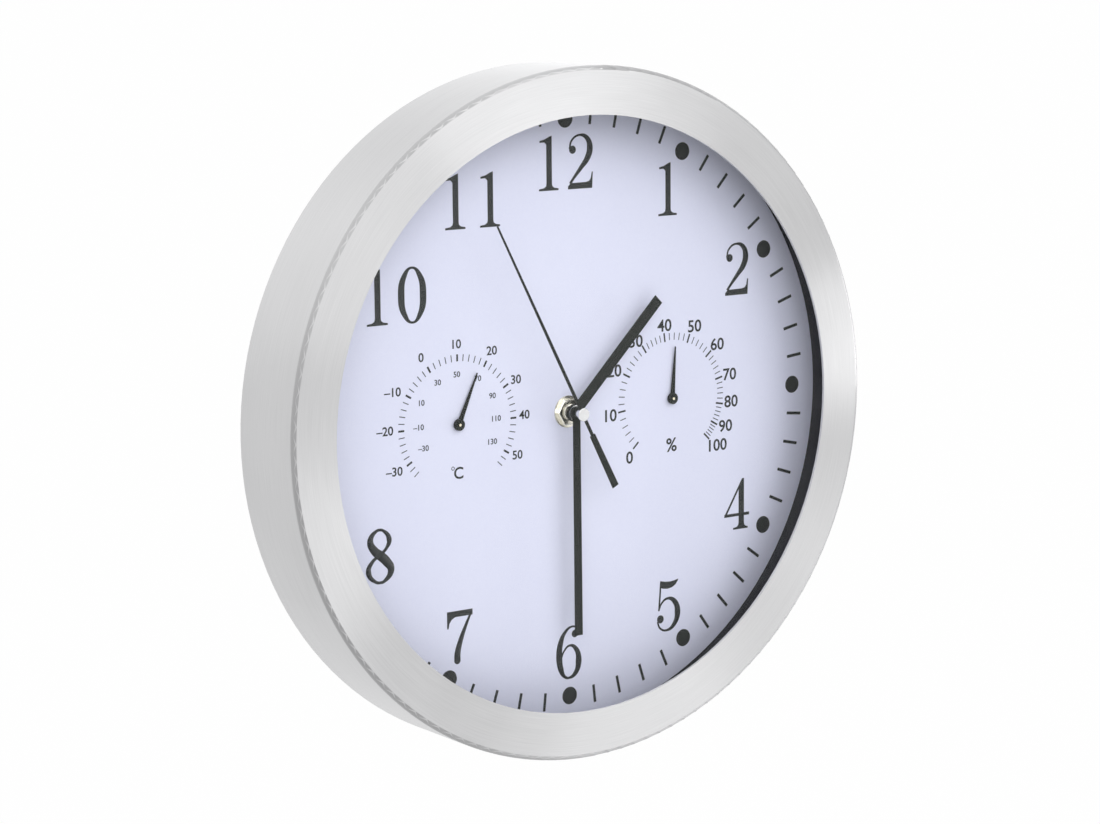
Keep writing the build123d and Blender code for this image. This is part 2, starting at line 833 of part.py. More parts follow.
bobbin_top = stator_top - stator_lug_width - loose_clearance
bobbin_bottom = stator_bottom + stator_lug_width + loose_clearance
sleeve_width = core_width + 2 * bobbin_sleeve
sleeve_height = core_thickness + 2 * bobbin_sleeve
with BuildPart() as coil_bobbin:
    with BuildSketch(section.offset(-bobbin_top)):
        with Locations(core_place):
            Rectangle(sleeve_width, sleeve_height)
    extrude(amount=bobbin_top - bobbin_bottom)
    for flange_up in (bobbin_top, bobbin_bottom + bobbin_flange_thickness):
        with BuildSketch(section.offset(-flange_up)):
            with Locations(core_place):
                Rectangle(bobbin_flange, bobbin_flange)
        extrude(amount=bobbin_flange_thickness)
    with BuildSketch(section.offset(-bobbin_top)):
        with Locations(core_place):
            Rectangle(core_width + 2 * seat_clearance, core_thickness + 2 * seat_clearance)
    extrude(amount=bobbin_top - bobbin_bottom, mode=Mode.SUBTRACT)
coil_bobbin.part.label = "coil_bobbin"
export_step(coil_bobbin.part, "parts/coil_bobbin.step")

winding_top = bobbin_top - bobbin_flange_thickness
with BuildPart() as coil_winding:
    with BuildSketch(section.offset(-winding_top)):
        with Locations(core_place):
            RectangleRounded(winding_size, winding_size, core_thickness)
            Rectangle(sleeve_width, sleeve_height, mode=Mode.SUBTRACT)
    extrude(amount=winding_top - bobbin_bottom - bobbin_flange_thickness)
coil_winding.part.label = "coil_winding"
export_step(coil_winding.part, "parts/coil_winding.step")

# Circuit board on the bearing plate, with its potted chip and its crystal can
board_across = board_inset + board_width / 2 - inner_half
board_top = bearing_top + board_thickness
with BuildPart() as circuit_board:
    block(board_width, board_length, bearing_top, board_top, (board_across, board_middle))
circuit_board.part.label = "circuit_board"
export_step(circuit_board.part, "parts/circuit_board.step")

with BuildPart() as chip:
    bar(chip_radius, board_top, board_top + chip_height, (board_across, chip_up))
    fillet(chip.edges().group_by(Axis.Y)[0], chip_height / 2)
chip.part.label = "chip"
export_step(chip.part, "parts/chip.step")

with BuildPart() as crystal:
    with BuildSketch(section.offset(-crystal_up)):
        with Locations((board_across, board_top + crystal_radius)):
            Circle(crystal_radius)
    extrude(amount=crystal_length)
crystal.part.label = "crystal"
export_step(crystal.part, "parts/crystal.step")

# Battery across its bay, between a flat contact and a sprung leaf
plus_face = inner_half - contact_sheet
battery_end = plus_face - contact_gap
battery_start = battery_end - battery_length
lengthways = Plane(origin=axis_foot, x_dir=(0, -1, 0), z_dir=(1, 0, 0))
with BuildPart() as battery:
    with BuildSketch(lengthways.offset(battery_start)):
        with Locations((battery_height, -battery_up)):
            Circle(battery_radius)
    extrude(amount=battery_length - battery_nub_length)
    fillet(battery.edges().filter_by(GeomType.CIRCLE), battery_edge_radius)
    with BuildSketch(lengthways.offset(battery_end - battery_nub_length)):
        with Locations((battery_height, -battery_up)):
            Circle(battery_nub_radius)
    extrude(amount=battery_nub_length)
battery.part.label = "battery"
export_step(battery.part, "parts/battery.step")

with BuildPart() as contact_plus:
    block(
        contact_sheet,
        contact_width,
        battery_height - contact_height / 2,
        battery_height + contact_height / 2,
        (plus_face + contact_sheet / 2, battery_up),
    )
contact_plus.part.label = "contact_plus"
export_step(contact_plus.part, "parts/contact_plus.step")

leaf_root = contact_sheet - inner_half
leaf_crest = battery_start - contact_gap
leaf_half = contact_height / 2 - contact_sheet
with BuildPart() as contact_minus:
    with BuildSketch(section.offset(-battery_up - contact_width / 2)):
        with Locations((leaf_root - contact_sheet / 2, battery_height)):
            Rectangle(contact_sheet, contact_height)
        with BuildLine():
            ThreePointArc(
                (leaf_root, battery_height - leaf_half),
                (leaf_crest, battery_height),
                (leaf_root, battery_height + leaf_half),
            )
            ThreePointArc(
                (leaf_root, battery_height - leaf_half + contact_sheet),
                (leaf_crest - contact_sheet, battery_height),
                (leaf_root, battery_height + leaf_half - contact_sheet),
            )
            Line(
                (leaf_root, battery_height - leaf_half),
                (leaf_root, battery_height - leaf_half + contact_sheet),
            )
            Line(
                (leaf_root, battery_height + leaf_half),
                (leaf_root, battery_height + leaf_half - contact_sheet),
            )
        make_face()
    extrude(amount=contact_width)
contact_minus.part.label = "contact_minus"
export_step(contact_minus.part, "parts/contact_minus.step")

# Hour wheel with its pipe, and the hour hand on the pipe
with BuildPart() as hour_wheel:
    gear(motion_module, hour_teeth, hour_phase, hour_wheel_base, hour_wheel_base + wheel_thickness)
    web_holes(motion_module, hour_teeth, hour_wheel_base, hour_wheel_base + wheel_thickness)
    bar(hour_pipe_radius, hour_wheel_base, hour_hub_top)
    bar(minute_pipe_radius + running_clearance, hour_wheel_base, hour_hub_top, mode=Mode.SUBTRACT)
hour_wheel.part.label = "hour_wheel"
export_step(hour_wheel.part, "parts/hour_wheel.step")

with BuildPart() as hour_hand:
    bar(hour_hub_radius, hour_hub_base, hour_hub_top)
    with BuildSketch(clock_plane(hour_angle, hour_hub_base + hour_blade_lift)):
        Rectangle(hour_hand_length, hour_blade_width, align=(Align.MIN, Align.CENTER))
    extrude(amount=hour_blade_thickness)
    bar(hour_pipe_radius + seat_clearance, hour_hub_base, hour_hub_top, mode=Mode.SUBTRACT)
hour_hand.part.label = "hour_hand"
export_step(hour_hand.part, "parts/hour_hand.step")

# Centre wheel with the cannon pinion and its pipe, and the minute hand on the pipe
centre_wheel_top = centre_wheel_base + wheel_thickness
with BuildPart() as centre_wheel:
    gear(centre_module, centre_teeth, centre_phase, centre_wheel_base, centre_wheel_top)
    web_holes(centre_module, centre_teeth, centre_wheel_base, centre_wheel_top)
    gear(
        motion_module,
        cannon_teeth,
        cannon_phase,
        centre_wheel_top,
        minute_wheel_base + wheel_thickness + pinion_overhang,
    )
    bar(minute_pipe_radius, centre_wheel_base, minute_hub_top)
    bar(second_arbor_radius + running_clearance, centre_wheel_base, minute_hub_top, mode=Mode.SUBTRACT)
centre_wheel.part.label = "centre_wheel"
export_step(centre_wheel.part, "parts/centre_wheel.step")

with BuildPart() as minute_hand:
    bar(minute_hub_radius, minute_hub_base, minute_hub_top)
    with BuildSketch(clock_plane(minute_angle, minute_hub_base + minute_blade_lift)):
        with BuildLine():
            Polyline(
                (0, minute_blade_width / 2),
                (0, -minute_blade_width / 2),
                (minute_hand_length, -minute_tip_width / 2),
                (minute_hand_length, minute_tip_width / 2),
                close=True,
            )
        make_face()
    extrude(amount=minute_blade_thickness)
    bar(minute_pipe_radius + seat_clearance, minute_hub_base, minute_hub_top, mode=Mode.SUBTRACT)
minute_hand.part.label = "minute_hand"
export_step(minute_hand.part, "parts/minute_hand.step")

# Second wheel with its pinion on the centre arbor
second_wheel_top = second_wheel_base + wheel_thickness
second_arbor_top = second_blade_top - seat_clearance
with BuildPart() as second_wheel:
    gear(train_module, second_teeth, second_phase, second_wheel_base, second_wheel_top)
    web_holes(train_module, second_teeth, second_wheel_base, second_wheel_top)
    gear(
        train_module,
        second_pinion_teeth,
        second_pinion_phase,
        second_wheel_top,
        third_wheel_base + wheel_thickness + pinion_overhang,
    )
    bar(second_arbor_radius, bearing_base, second_arbor_top)
second_wheel.part.label = "second_wheel"
export_step(second_wheel.part, "parts/second_wheel.step")

# Second hand: a tapered blade with a counterweight tail, on a capped tube
with BuildPart() as second_hand:
    with BuildSketch(clock_plane(second_angle, second_blade_base)):
        with BuildLine():
            Polyline(
                (second_hand_length, second_tip_width / 2),
                (second_shoulder, second_shoulder_width / 2),
                (0, second_neck_width / 2),
                (-second_tail_start, second_neck_width / 2),
                (-second_tail_start, second_tail_start_width / 2),
                (-second_tail_length, second_tail_width / 2),
                (-second_tail_length, -second_tail_width / 2),
                (-second_tail_start, -second_tail_start_width / 2),
                (-second_tail_start, -second_neck_width / 2),
                (0, -second_neck_width / 2),
                (second_shoulder, -second_shoulder_width / 2),
                (second_hand_length, -second_tip_width / 2),
                close=True,
            )
        make_face()
        Circle(second_eye_radius)
        Circle(second_neck_radius + seat_clearance, mode=Mode.SUBTRACT)
    extrude(amount=second_blade_thickness)
second_hand.part.label = "second_hand"
export_step(second_hand.part, "parts/second_hand.step")

with BuildPart() as second_hub:
    bar(second_cap_radius, second_blade_top, second_blade_top + second_cap_height)
    fillet(second_hub.edges().group_by(Axis.Y)[0], second_cap_round)
    bar(second_neck_radius, second_blade_base, second_blade_top)
    bar(second_tube_radius, second_tube_base, second_blade_base)
    bar(second_arbor_radius + seat_clearance, second_tube_base, second_blade_top, mode=Mode.SUBTRACT)
second_hub.part.label = "second_hub"
export_step(second_hub.part, "parts/second_hub.step")

# Third wheel, between the second pinion and the centre wheel
third_wheel_top = third_wheel_base + wheel_thickness
with BuildPart() as third_wheel:
    gear(train_module, third_teeth, third_phase, third_wheel_base, third_wheel_top, third_place)
    web_holes(train_module, third_teeth, third_wheel_base, third_wheel_top, third_place)
    gear(
        centre_module,
        third_pinion_teeth,
        third_pinion_phase,
        third_wheel_top,
        centre_wheel_top + pinion_overhang,
        third_place,
    )
    bar(train_arbor_radius, bearing_base, pivot_top, third_place)
third_wheel.part.label = "third_wheel"
export_step(third_wheel.part, "parts/third_wheel.step")

# Step wheel, between the rotor and the second wheel
step_wheel_top = step_wheel_base + wheel_thickness
with BuildPart() as step_wheel:
    gear(rotor_module, step_teeth, step_phase, step_wheel_base, step_wheel_top, step_place)
    web_holes(rotor_module, step_teeth, step_wheel_base, step_wheel_top, step_place)
    gear(
        train_module,
        step_pinion_teeth,
        step_pinion_phase,
        step_wheel_top,
        second_wheel_top + pinion_overhang,
        step_place,
    )
    bar(train_arbor_radius, bearing_base, pivot_top, step_place)
step_wheel.part.label = "step_wheel"
export_step(step_wheel.part, "parts/step_wheel.step")

# Rotor: a pinion on an arbor, with a ring magnet behind the bearing plate
magnet_top = bearing_base - magnet_gap
magnet_base = magnet_top - magnet_height
with BuildPart() as rotor_arbor:
    gear(
        rotor_module,
        rotor_teeth,
        rotor_phase,
        step_wheel_base - pinion_overhang,
        step_wheel_top + pinion_overhang,
        rotor_place,
    )
    bar(train_arbor_radius, magnet_base, pivot_top, rotor_place)
rotor_arbor.part.label = "rotor_arbor"
export_step(rotor_arbor.part, "parts/rotor_arbor.step")

with BuildPart() as rotor_magnet:
    bar(magnet_radius, magnet_base, magnet_top, rotor_place)
    bar(train_arbor_radius + seat_clearance, magnet_base, magnet_top, rotor_place, Mode.SUBTRACT)
rotor_magnet.part.label = "rotor_magnet"
export_step(rotor_magnet.part, "parts/rotor_magnet.step")

# Minute wheel and its pinion, on a post of the housing
minute_wheel_top = minute_wheel_base + wheel_thickness
hour_wheel_top = hour_wheel_base + wheel_thickness
with BuildPart() as minute_wheel:
    gear(
        motion_module,
        minute_wheel_teeth,
        minute_wheel_phase,
        minute_wheel_base,
        minute_wheel_top,
        minute_wheel_place,
    )
    web_holes(motion_module, minute_wheel_teeth, minute_wheel_base, minute_wheel_top, minute_wheel_place)
    gear(
        motion_module,
        minute_pinion_teeth,
        minute_pinion_phase,
        minute_wheel_top,
        hour_wheel_top,
        minute_wheel_place,
    )
    bar(
        motion_post_radius + running_clearance,
        minute_wheel_base,
        hour_wheel_top,
        minute_wheel_place,
        Mode.SUBTRACT,
    )
minute_wheel.part.label = "minute_wheel"
export_step(minute_wheel.part, "parts/minute_wheel.step")

# Setting knob behind the cover, with the gear that turns the minute wheel
knob_front = movement_back - loose_clearance
knob_back = knob_front - knob_thickness
with BuildPart() as setting_knob:
    with BuildSketch(face.offset(knob_back)):
        with Locations(setting_place):
            Circle(knob_radius)
            with PolarLocations(knob_radius, knob_flute_count):
                Circle(knob_flute_radius, mode=Mode.SUBTRACT)
    extrude(amount=knob_thickness)
    bar(setting_arbor_radius, knob_front, hour_wheel_top, setting_place)
    gear(
        motion_module,
        setting_teeth,
        setting_phase,
        minute_wheel_base - pinion_overhang,
        minute_wheel_top + pinion_overhang,
        setting_place,
    )
setting_knob.part.label = "setting_knob"
export_step(setting_knob.part, "parts/setting_knob.step")

# Gauge heights: cup, strip and pointer
cup_back = floor_back - cup_depth
cup_inner_back = cup_back + cup_wall
cup_inner_radius = cup_radius - cup_wall
strip_base = cup_inner_back + strip_rise
strip_top = strip_base + strip_width
gauge_arbor_base = cup_back + cup_wall / 2
pointer_hub_base = dial_front + pointer_lift
pointer_hub_top = pointer_hub_base + pointer_hub_height
strip_start = gauge_collet_radius + strip_inner_gap + strip_thickness / 2
strip_plans = {
    "thermometer": (thermometer_half_turns, thermometer_strip_growth),
    "hygrometer": (hygrometer_half_turns, hygrometer_strip_growth),
}
pointer_plans = {
    "thermometer": (thermometer_reading_angle, thermometer_pointer_length),
    "hygrometer": (hygrometer_reading_angle, hygrometer_pointer_length),
}

for gauge, place in gauges:
    half_turns, growth = strip_plans[gauge]
    reading_angle, pointer_length = pointer_plans[gauge]
    strip_end = strip_start + (half_turns - 1) * growth

    # Cup: closed behind but for its vents, with a bearing boss and a post for the strip
    with BuildPart() as housing:
        bar(cup_radius, cup_back, floor_back, place)
        bar(cup_flange_radius, floor_back - cup_flange_thickness, floor_back, place)
        bar(cup_inner_radius, cup_inner_back, floor_back, place, Mode.SUBTRACT)
        bar(cup_boss_radius, cup_inner_back, cup_inner_back + cup_boss_height, place)
        post_across = place[0] - strip_end - strip_thickness / 2 - seat_clearance - strip_post_radius
        bar(strip_post_radius, cup_inner_back, strip_top, (post_across, place[1]))
        bar(
            gauge_arbor_radius + running_clearance,
            gauge_arbor_base - running_clearance,
            cup_inner_back + cup_boss_height,
            place,
            Mode.SUBTRACT,
        )
        with BuildSketch(face.offset(cup_back)):
            with Locations(place):
                with PolarLocations(vent_middle_radius, vent_count, start_angle=half_turn / vent_count):
                    SlotOverall(vent_length, vent_width)
        extrude(amount=cup_wall, mode=Mode.SUBTRACT)
        with BuildSketch(face.offset(floor_back - cup_flange_thickness)):
            with Locations(place):
                with PolarLocations(gauge_screw_ring, gauge_screw_count, start_angle=gauge_screw_angle):
                    Circle(gauge_screw_radius + running_clearance)
        extrude(amount=cup_flange_thickness, mode=Mode.SUBTRACT)
    housing.part.label = f"{gauge}_housing"
    export_step(housing.part, f"parts/{gauge}_housing.step")

    # Strip: half turns about two centres, each wider than the one before
    with BuildPart() as strip:
        with BuildSketch(clock_plane(90, strip_base, place)):
            with BuildLine():
                for turn in range(half_turns):
                    middle = (growth, 0) if turn % 2 else centre
                    radius = strip_start + turn * growth
                    first_angle = half_turn if turn % 2 else 0
                    CenterArc(middle, radius - strip_thickness / 2, first_angle, half_turn)
                    CenterArc(middle, radius + strip_thickness / 2, first_angle, half_turn)
                Line((strip_start - strip_thickness / 2, 0), (strip_start + strip_thickness / 2, 0))
                Line((-strip_end - strip_thickness / 2, 0), (-strip_end + strip_thickness / 2, 0))
            make_face()
        extrude(amount=strip_width)
    strip.part.label = f"{gauge}_strip"
    export_step(strip.part, f"parts/{gauge}_strip.step")

    # Arbor: a pin with the collet that the strip winds about
    with BuildPart() as arbor:
        bar(gauge_arbor_radius, gauge_arbor_base, pointer_hub_top + pointer_pin_reach, place)
        bar(gauge_collet_radius, strip_base, strip_top, place)
    arbor.part.label = f"{gauge}_arbor"
    export_step(arbor.part, f"parts/{gauge}_arbor.step")

    # Pointer: a tapered blade and its hub
    with BuildPart() as pointer:
        bar(pointer_hub_radius, pointer_hub_base, pointer_hub_top, place)
        with BuildSketch(clock_plane(reading_angle, pointer_hub_base + pointer_blade_lift, place)):
            with BuildLine():
                Polyline(
                    (0, pointer_root_width / 2),
                    (0, -pointer_root_width / 2),
                    (pointer_length, -pointer_tip_width / 2),
                    (pointer_length, pointer_tip_width / 2),
                    close=True,
                )
            make_face()
        extrude(amount=pointer_blade_thickness)
        bar(
            gauge_arbor_radius + seat_clearance,
            pointer_hub_base,
            pointer_hub_top,
            place,
            Mode.SUBTRACT,
        )
    pointer.part.label = f"{gauge}_pointer"
    export_step(pointer.part, f"parts/{gauge}_pointer.step")

# Screws that hold both gauge cups to the pan
flange_back = floor_back - cup_flange_thickness
with BuildPart() as gauge_screws:
    for place in gauge_places:
        with BuildSketch(face.offset(flange_back - gauge_screw_head_height)):
            with Locations(place):
                with PolarLocations(gauge_screw_ring, gauge_screw_count, start_angle=gauge_screw_angle):
                    Circle(gauge_screw_head_radius)
        extrude(amount=gauge_screw_head_height)
        with BuildSketch(face.offset(flange_back)):
            with Locations(place):
                with PolarLocations(gauge_screw_ring, gauge_screw_count, start_angle=gauge_screw_angle):
                    Circle(gauge_screw_radius)
        extrude(amount=cup_flange_thickness + pilot_depth)
gauge_screws.part.label = "gauge_screws"
export_step(gauge_screws.part, "parts/gauge_screws.step")
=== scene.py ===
"""Looks of a wall clock with a thermometer and a hygrometer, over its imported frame.

New pieces are drawn in millimetres on the clock's face: x to the right and y up from the
axis of the hands, and z as the height above the wall. Each is then stood up into the frame.
"""

import contextlib
import logging
import math
from dataclasses import dataclass, field, replace
from enum import Enum
from typing import Any, Callable, Iterator, Mapping, Optional, Sequence, Union

import bmesh
import bpy
from mathutils import Matrix, Vector


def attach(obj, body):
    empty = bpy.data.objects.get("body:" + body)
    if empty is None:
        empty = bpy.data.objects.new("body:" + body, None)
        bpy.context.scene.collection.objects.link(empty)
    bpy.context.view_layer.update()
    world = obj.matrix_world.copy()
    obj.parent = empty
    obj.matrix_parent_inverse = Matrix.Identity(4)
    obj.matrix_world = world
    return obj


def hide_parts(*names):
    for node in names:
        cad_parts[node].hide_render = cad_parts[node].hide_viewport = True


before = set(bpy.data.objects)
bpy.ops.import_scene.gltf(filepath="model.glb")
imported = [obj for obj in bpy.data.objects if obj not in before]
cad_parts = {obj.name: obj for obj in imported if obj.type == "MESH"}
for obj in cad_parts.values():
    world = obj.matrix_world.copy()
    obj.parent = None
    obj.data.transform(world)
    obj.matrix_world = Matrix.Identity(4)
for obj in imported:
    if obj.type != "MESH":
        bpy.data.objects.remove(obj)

LOG = logging.getLogger("clock")

MILLIMETRE = 0.001
AXIS_DROP = 112.0
FULL_TURN = math.tau
STAND_UP = (
    Matrix.Translation((0.0, 0.0, -AXIS_DROP * MILLIMETRE))
    @ Matrix.Rotation(FULL_TURN / 4, 4, "X")
    @ Matrix.Scale(MILLIMETRE, 4)
)
# How squarely a face looks along an axis to count as an end, and how near two heights are to
# count as one.
SQUARELY = 0.9
NEAR = 0.01

Point = tuple[float, float]
Triple = tuple[float, float, float]
Piece = bpy.types.Object
Tree = bpy.types.NodeTree
Socket = bpy.types.NodeSocket
Value = Union[float, str, Sequence[float], Socket]


# Modelling tools


def pick(*pieces: Piece) -> Piece:
    """Selects the pieces alone and makes the first one active.

    Args:
        pieces: Objects to select.

    Returns:
        The active piece.
    """
    bpy.ops.object.select_all(action="DESELECT")
    for piece in pieces:
        piece.select_set(True)
    bpy.context.view_layer.objects.active = pieces[0]
    return pieces[0]


@contextlib.contextmanager
def editing(piece: Piece, mode: str = "FACE") -> Iterator[bmesh.types.BMesh]:
    """Opens a piece in edit mode with nothing selected, and closes it again.

    Args:
        piece: Mesh object to edit.
        mode: Kind of element that is selected, VERT, EDGE or FACE.

    Yields:
        The mesh under the edit operators.
    """
    pick(piece)
    bpy.ops.object.mode_set(mode="EDIT")
    bpy.ops.mesh.select_mode(type=mode)
    bpy.ops.mesh.select_all(action="DESELECT")
    yield bmesh.from_edit_mesh(piece.data)
    bpy.ops.object.mode_set(mode="OBJECT")


def select_faces(piece: Piece, test: Callable[[Vector, Vector], bool]) -> None:
    """Selects, in edit mode, the faces whose middle and normal pass a test.

    Args:
        piece: Object being edited.
        test: Takes the face's middle and its normal.
    """
    mesh = bmesh.from_edit_mesh(piece.data)
    for face in mesh.faces:
        face.select_set(test(face.calc_center_median(), face.normal))
    bmesh.update_edit_mesh(piece.data)


def select_edges(piece: Piece, test: Callable[[Vector, Vector], bool]) -> None:
    """Selects, in edit mode, the edges whose two ends pass a test.

    Args:
        piece: Object being edited.
        test: Takes the places of the edge's two ends.
    """
    mesh = bmesh.from_edit_mesh(piece.data)
    for edge in mesh.edges:
        edge.select_set(test(edge.verts[0].co, edge.verts[1].co))
    bmesh.update_edit_mesh(piece.data)


def copied(piece: Piece, place: Matrix) -> Piece:
    """Copies a modelled piece, with a mesh of its own, to another place.

    Args:
        piece: Object to copy.
        place: Where the copy goes, in the piece's own units.

    Returns:
        The copy.
    """
    copy = piece.copy()
    copy.data = piece.data.copy()
    copy.data.transform(place)
    bpy.context.scene.collection.objects.link(copy)
    return copy


def joined(name: str, pieces: Sequence[Piece]) -> Piece:
    """Joins pieces into one object.

    Args:
        name: Name of the joined object.
        pieces: Mesh objects to join.

    Returns:
        The joined object.
    """
    whole = pick(*pieces)
    if len(pieces) > 1:
        bpy.ops.object.join()
    whole.name = name
    whole.data.name = name
    return whole


def applied(piece: Piece, kind: str, **settings: Any) -> Piece:
    """Adds a modifier to a piece and applies it.

    Args:
        piece: Object that gets the modifier.
        kind: Blender's type of the modifier.
        settings: The modifier's own settings.

    Returns:
        The same piece.
    """
    pick(piece)
    modifier = piece.modifiers.new(kind.title(), kind)
    for name, value in settings.items():
        setattr(modifier, name, value)
    bpy.ops.object.modifier_apply(modifier=modifier.name)
    return piece


def cut(piece: Piece, tool: Piece, operation: str) -> Piece:
    """Adds a tool's solid to a piece, or takes it away, and removes the tool.

    Args:
        piece: Object that is cut.
        tool: Object that cuts it.
        operation: UNION or DIFFERENCE.

    Returns:
        The same piece.
    """
    applied(piece, "BOOLEAN", object=tool, operation=operation, solver="EXACT", use_self=True)
    bpy.data.objects.remove(tool)
    return piece


def closed(piece: Piece, weld: float = 0.001) -> Piece:
    """Merges a shell's doubles and turns its faces outwards.

    Args:
        piece: Object to mend.
        weld: Distance within which corners merge.

    Returns:
        The same piece.
    """
    with editing(piece):
        bpy.ops.mesh.select_all(action="SELECT")
        bpy.ops.mesh.remove_doubles(threshold=weld)
        bpy.ops.mesh.normals_make_consistent(inside=False)
    return piece


def rod(radius: float, low: float, high: float, sides: int) -> Piece:
    """Models a rod on the face's axis.

    Args:
        radius: Its radius.
        low: Height of its end towards the wall.
        high: Height of its other end.
        sides: Number of its sides.

    Returns:
        The rod.
    """
    bpy.ops.mesh.primitive_cylinder_add(
        vertices=sides, radius=radius, depth=high - low, location=(0.0, 0.0, (low + high) / 2)
    )
    bpy.ops.object.transform_apply(location=True)
    return bpy.context.object


def tube(radius: float, bore: float, low: float, high: float, sides: int) -> Piece:
    """Models a tube on the face's axis: a rod, inset at both ends and bridged.

    Args:
        radius: Its outer radius.
        bore: Its inner radius.
        low: Height of its end towards the wall.
        high: Height of its other end.
        sides: Number of its sides.

    Returns:
        The tube.
    """
    made = rod(radius, low, high, sides)
    with editing(made):
        select_faces(made, lambda at, normal: abs(normal.z) > SQUARELY)
        bpy.ops.mesh.inset(thickness=radius - bore)
        bpy.ops.mesh.bridge_edge_loops()
    return closed(made)


def block(size: Triple, height: float, turn: float = 0.0) -> Piece:
    """Models a block on the face's axis.

    Args:
        size: Its width, length and thickness.
        height: Height of its middle.
        turn: Angle by which it is turned.

    Returns:
        The block.
    """
    bpy.ops.mesh.primitive_cube_add(size=1.0, location=(0.0, 0.0, height))
    made = bpy.context.object
    made.scale = size
    made.rotation_euler.z = turn
    bpy.ops.object.transform_apply(location=True, rotation=True, scale=True)
    return made


def oval(
    middle: Point, wide: float, high: float, count: int = 8, first: float = 0.0
) -> list[Point]:
    """Gives evenly spread points round an ellipse.

    Args:
        middle: Middle of the ellipse.
        wide: Half its width.
        high: Half its height.
        count: Number of points.
        first: Degrees at which the first one lies.

    Returns:
        The points in order.
    """
    turns = [math.radians(first) + FULL_TURN * k / count for k in range(count)]
    return [(middle[0] + wide * math.cos(a), middle[1] + high * math.sin(a)) for a in turns]


@dataclass(frozen=True)
class Place:
    """What a finished piece stands for and moves with."""

    body: str
    slot: str
    replaced: Sequence[str] = ()

    def settle(self, piece: Piece, finish: "Finish") -> Piece:
        """Stands a piece up into the frame, dresses it and hangs it on its body.

        Args:
            piece: Object drawn in millimetres on the clock's face.
            finish: Finish of its whole surface.

        Returns:
            The same piece.
        """
        pick(piece)
        piece.matrix_world = STAND_UP
        bpy.ops.object.transform_apply(location=True, rotation=True, scale=True)
        dress(piece, finish)
        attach(piece, self.body)
        if self.replaced:
            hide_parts(*self.replaced)
        LOG.info("%s: %d faces, rides on %s", piece.name, len(piece.data.polygons), self.body)
        return piece


# Finishes


def linear(color: str) -> tuple[float, float, float, float]:
    """Turns an sRGB hex colour into linear light.

    Args:
        color: Colour as #RRGGBB.

    Returns:
        Red, green, blue and an alpha of one.
    """
    channels = (int(color[start : start + 2], 16) / 255 for start in (1, 3, 5))
    red, green, blue = (
        part / 12.92 if part <= 0.04045 else ((part + 0.055) / 1.055) ** 2.4 for part in channels
    )
    return red, green, blue, 1.0


def node(
    tree: Tree,
    kind: str,
    inputs: Optional[Mapping[Union[str, int], Value]] = None,
    take: Union[str, int] = 0,
    **settings: Any,
) -> Optional[Socket]:
    """Adds a node, sets it up, and fills or links its inputs.

    Args:
        tree: Node tree that gets the node.
        kind: Blender's name of the node without ShaderNode.
        inputs: A value, a hex colour or an output socket for each input.
        take: Output that is wanted.
        settings: Settings of the node itself.

    Returns:
        That output, of a node that has any.
    """
    made = tree.nodes.new("ShaderNode" + kind)
    for name, value in settings.items():
        setattr(made, name, value)
    for key, value in (inputs or {}).items():
        if isinstance(value, Socket):
            tree.links.new(value, made.inputs[key])
        elif isinstance(value, str):
            made.inputs[key].default_value = linear(value)
        else:
            made.inputs[key].default_value = value
    return made.outputs[take] if made.outputs else None


# Two noises added keep near their middle, which is spread over the whole range. Smears take
# the upper half of one noise alone.
SPREAD = {"From Min": 0.7, "From Max": 1.3}
SMEARS = {"From Min": 0.5, "From Max": 0.8}
# With s the square of how far a face looks out of the wall, s(1 - s) is nought on the flats
# and on the sides, and passes through this range on a rounded edge.
ROUNDING = {"From Min": 0.03, "From Max": 0.12}
# What of a place lies along the wall, and the way out of it.
ALONG_WALL = (1.0, 0.0, 1.0)
OUT_OF_WALL = (0.0, 1.0, 0.0)
# The tangent runs round the rings, and a quarter turn from it draws the highlight out
# across them.
BRUSHED_TURN = 0.25


class Texture(Enum):
    """How the marks of a finish run over its surface."""

    EVEN = "even"
    TURNED = "turned"


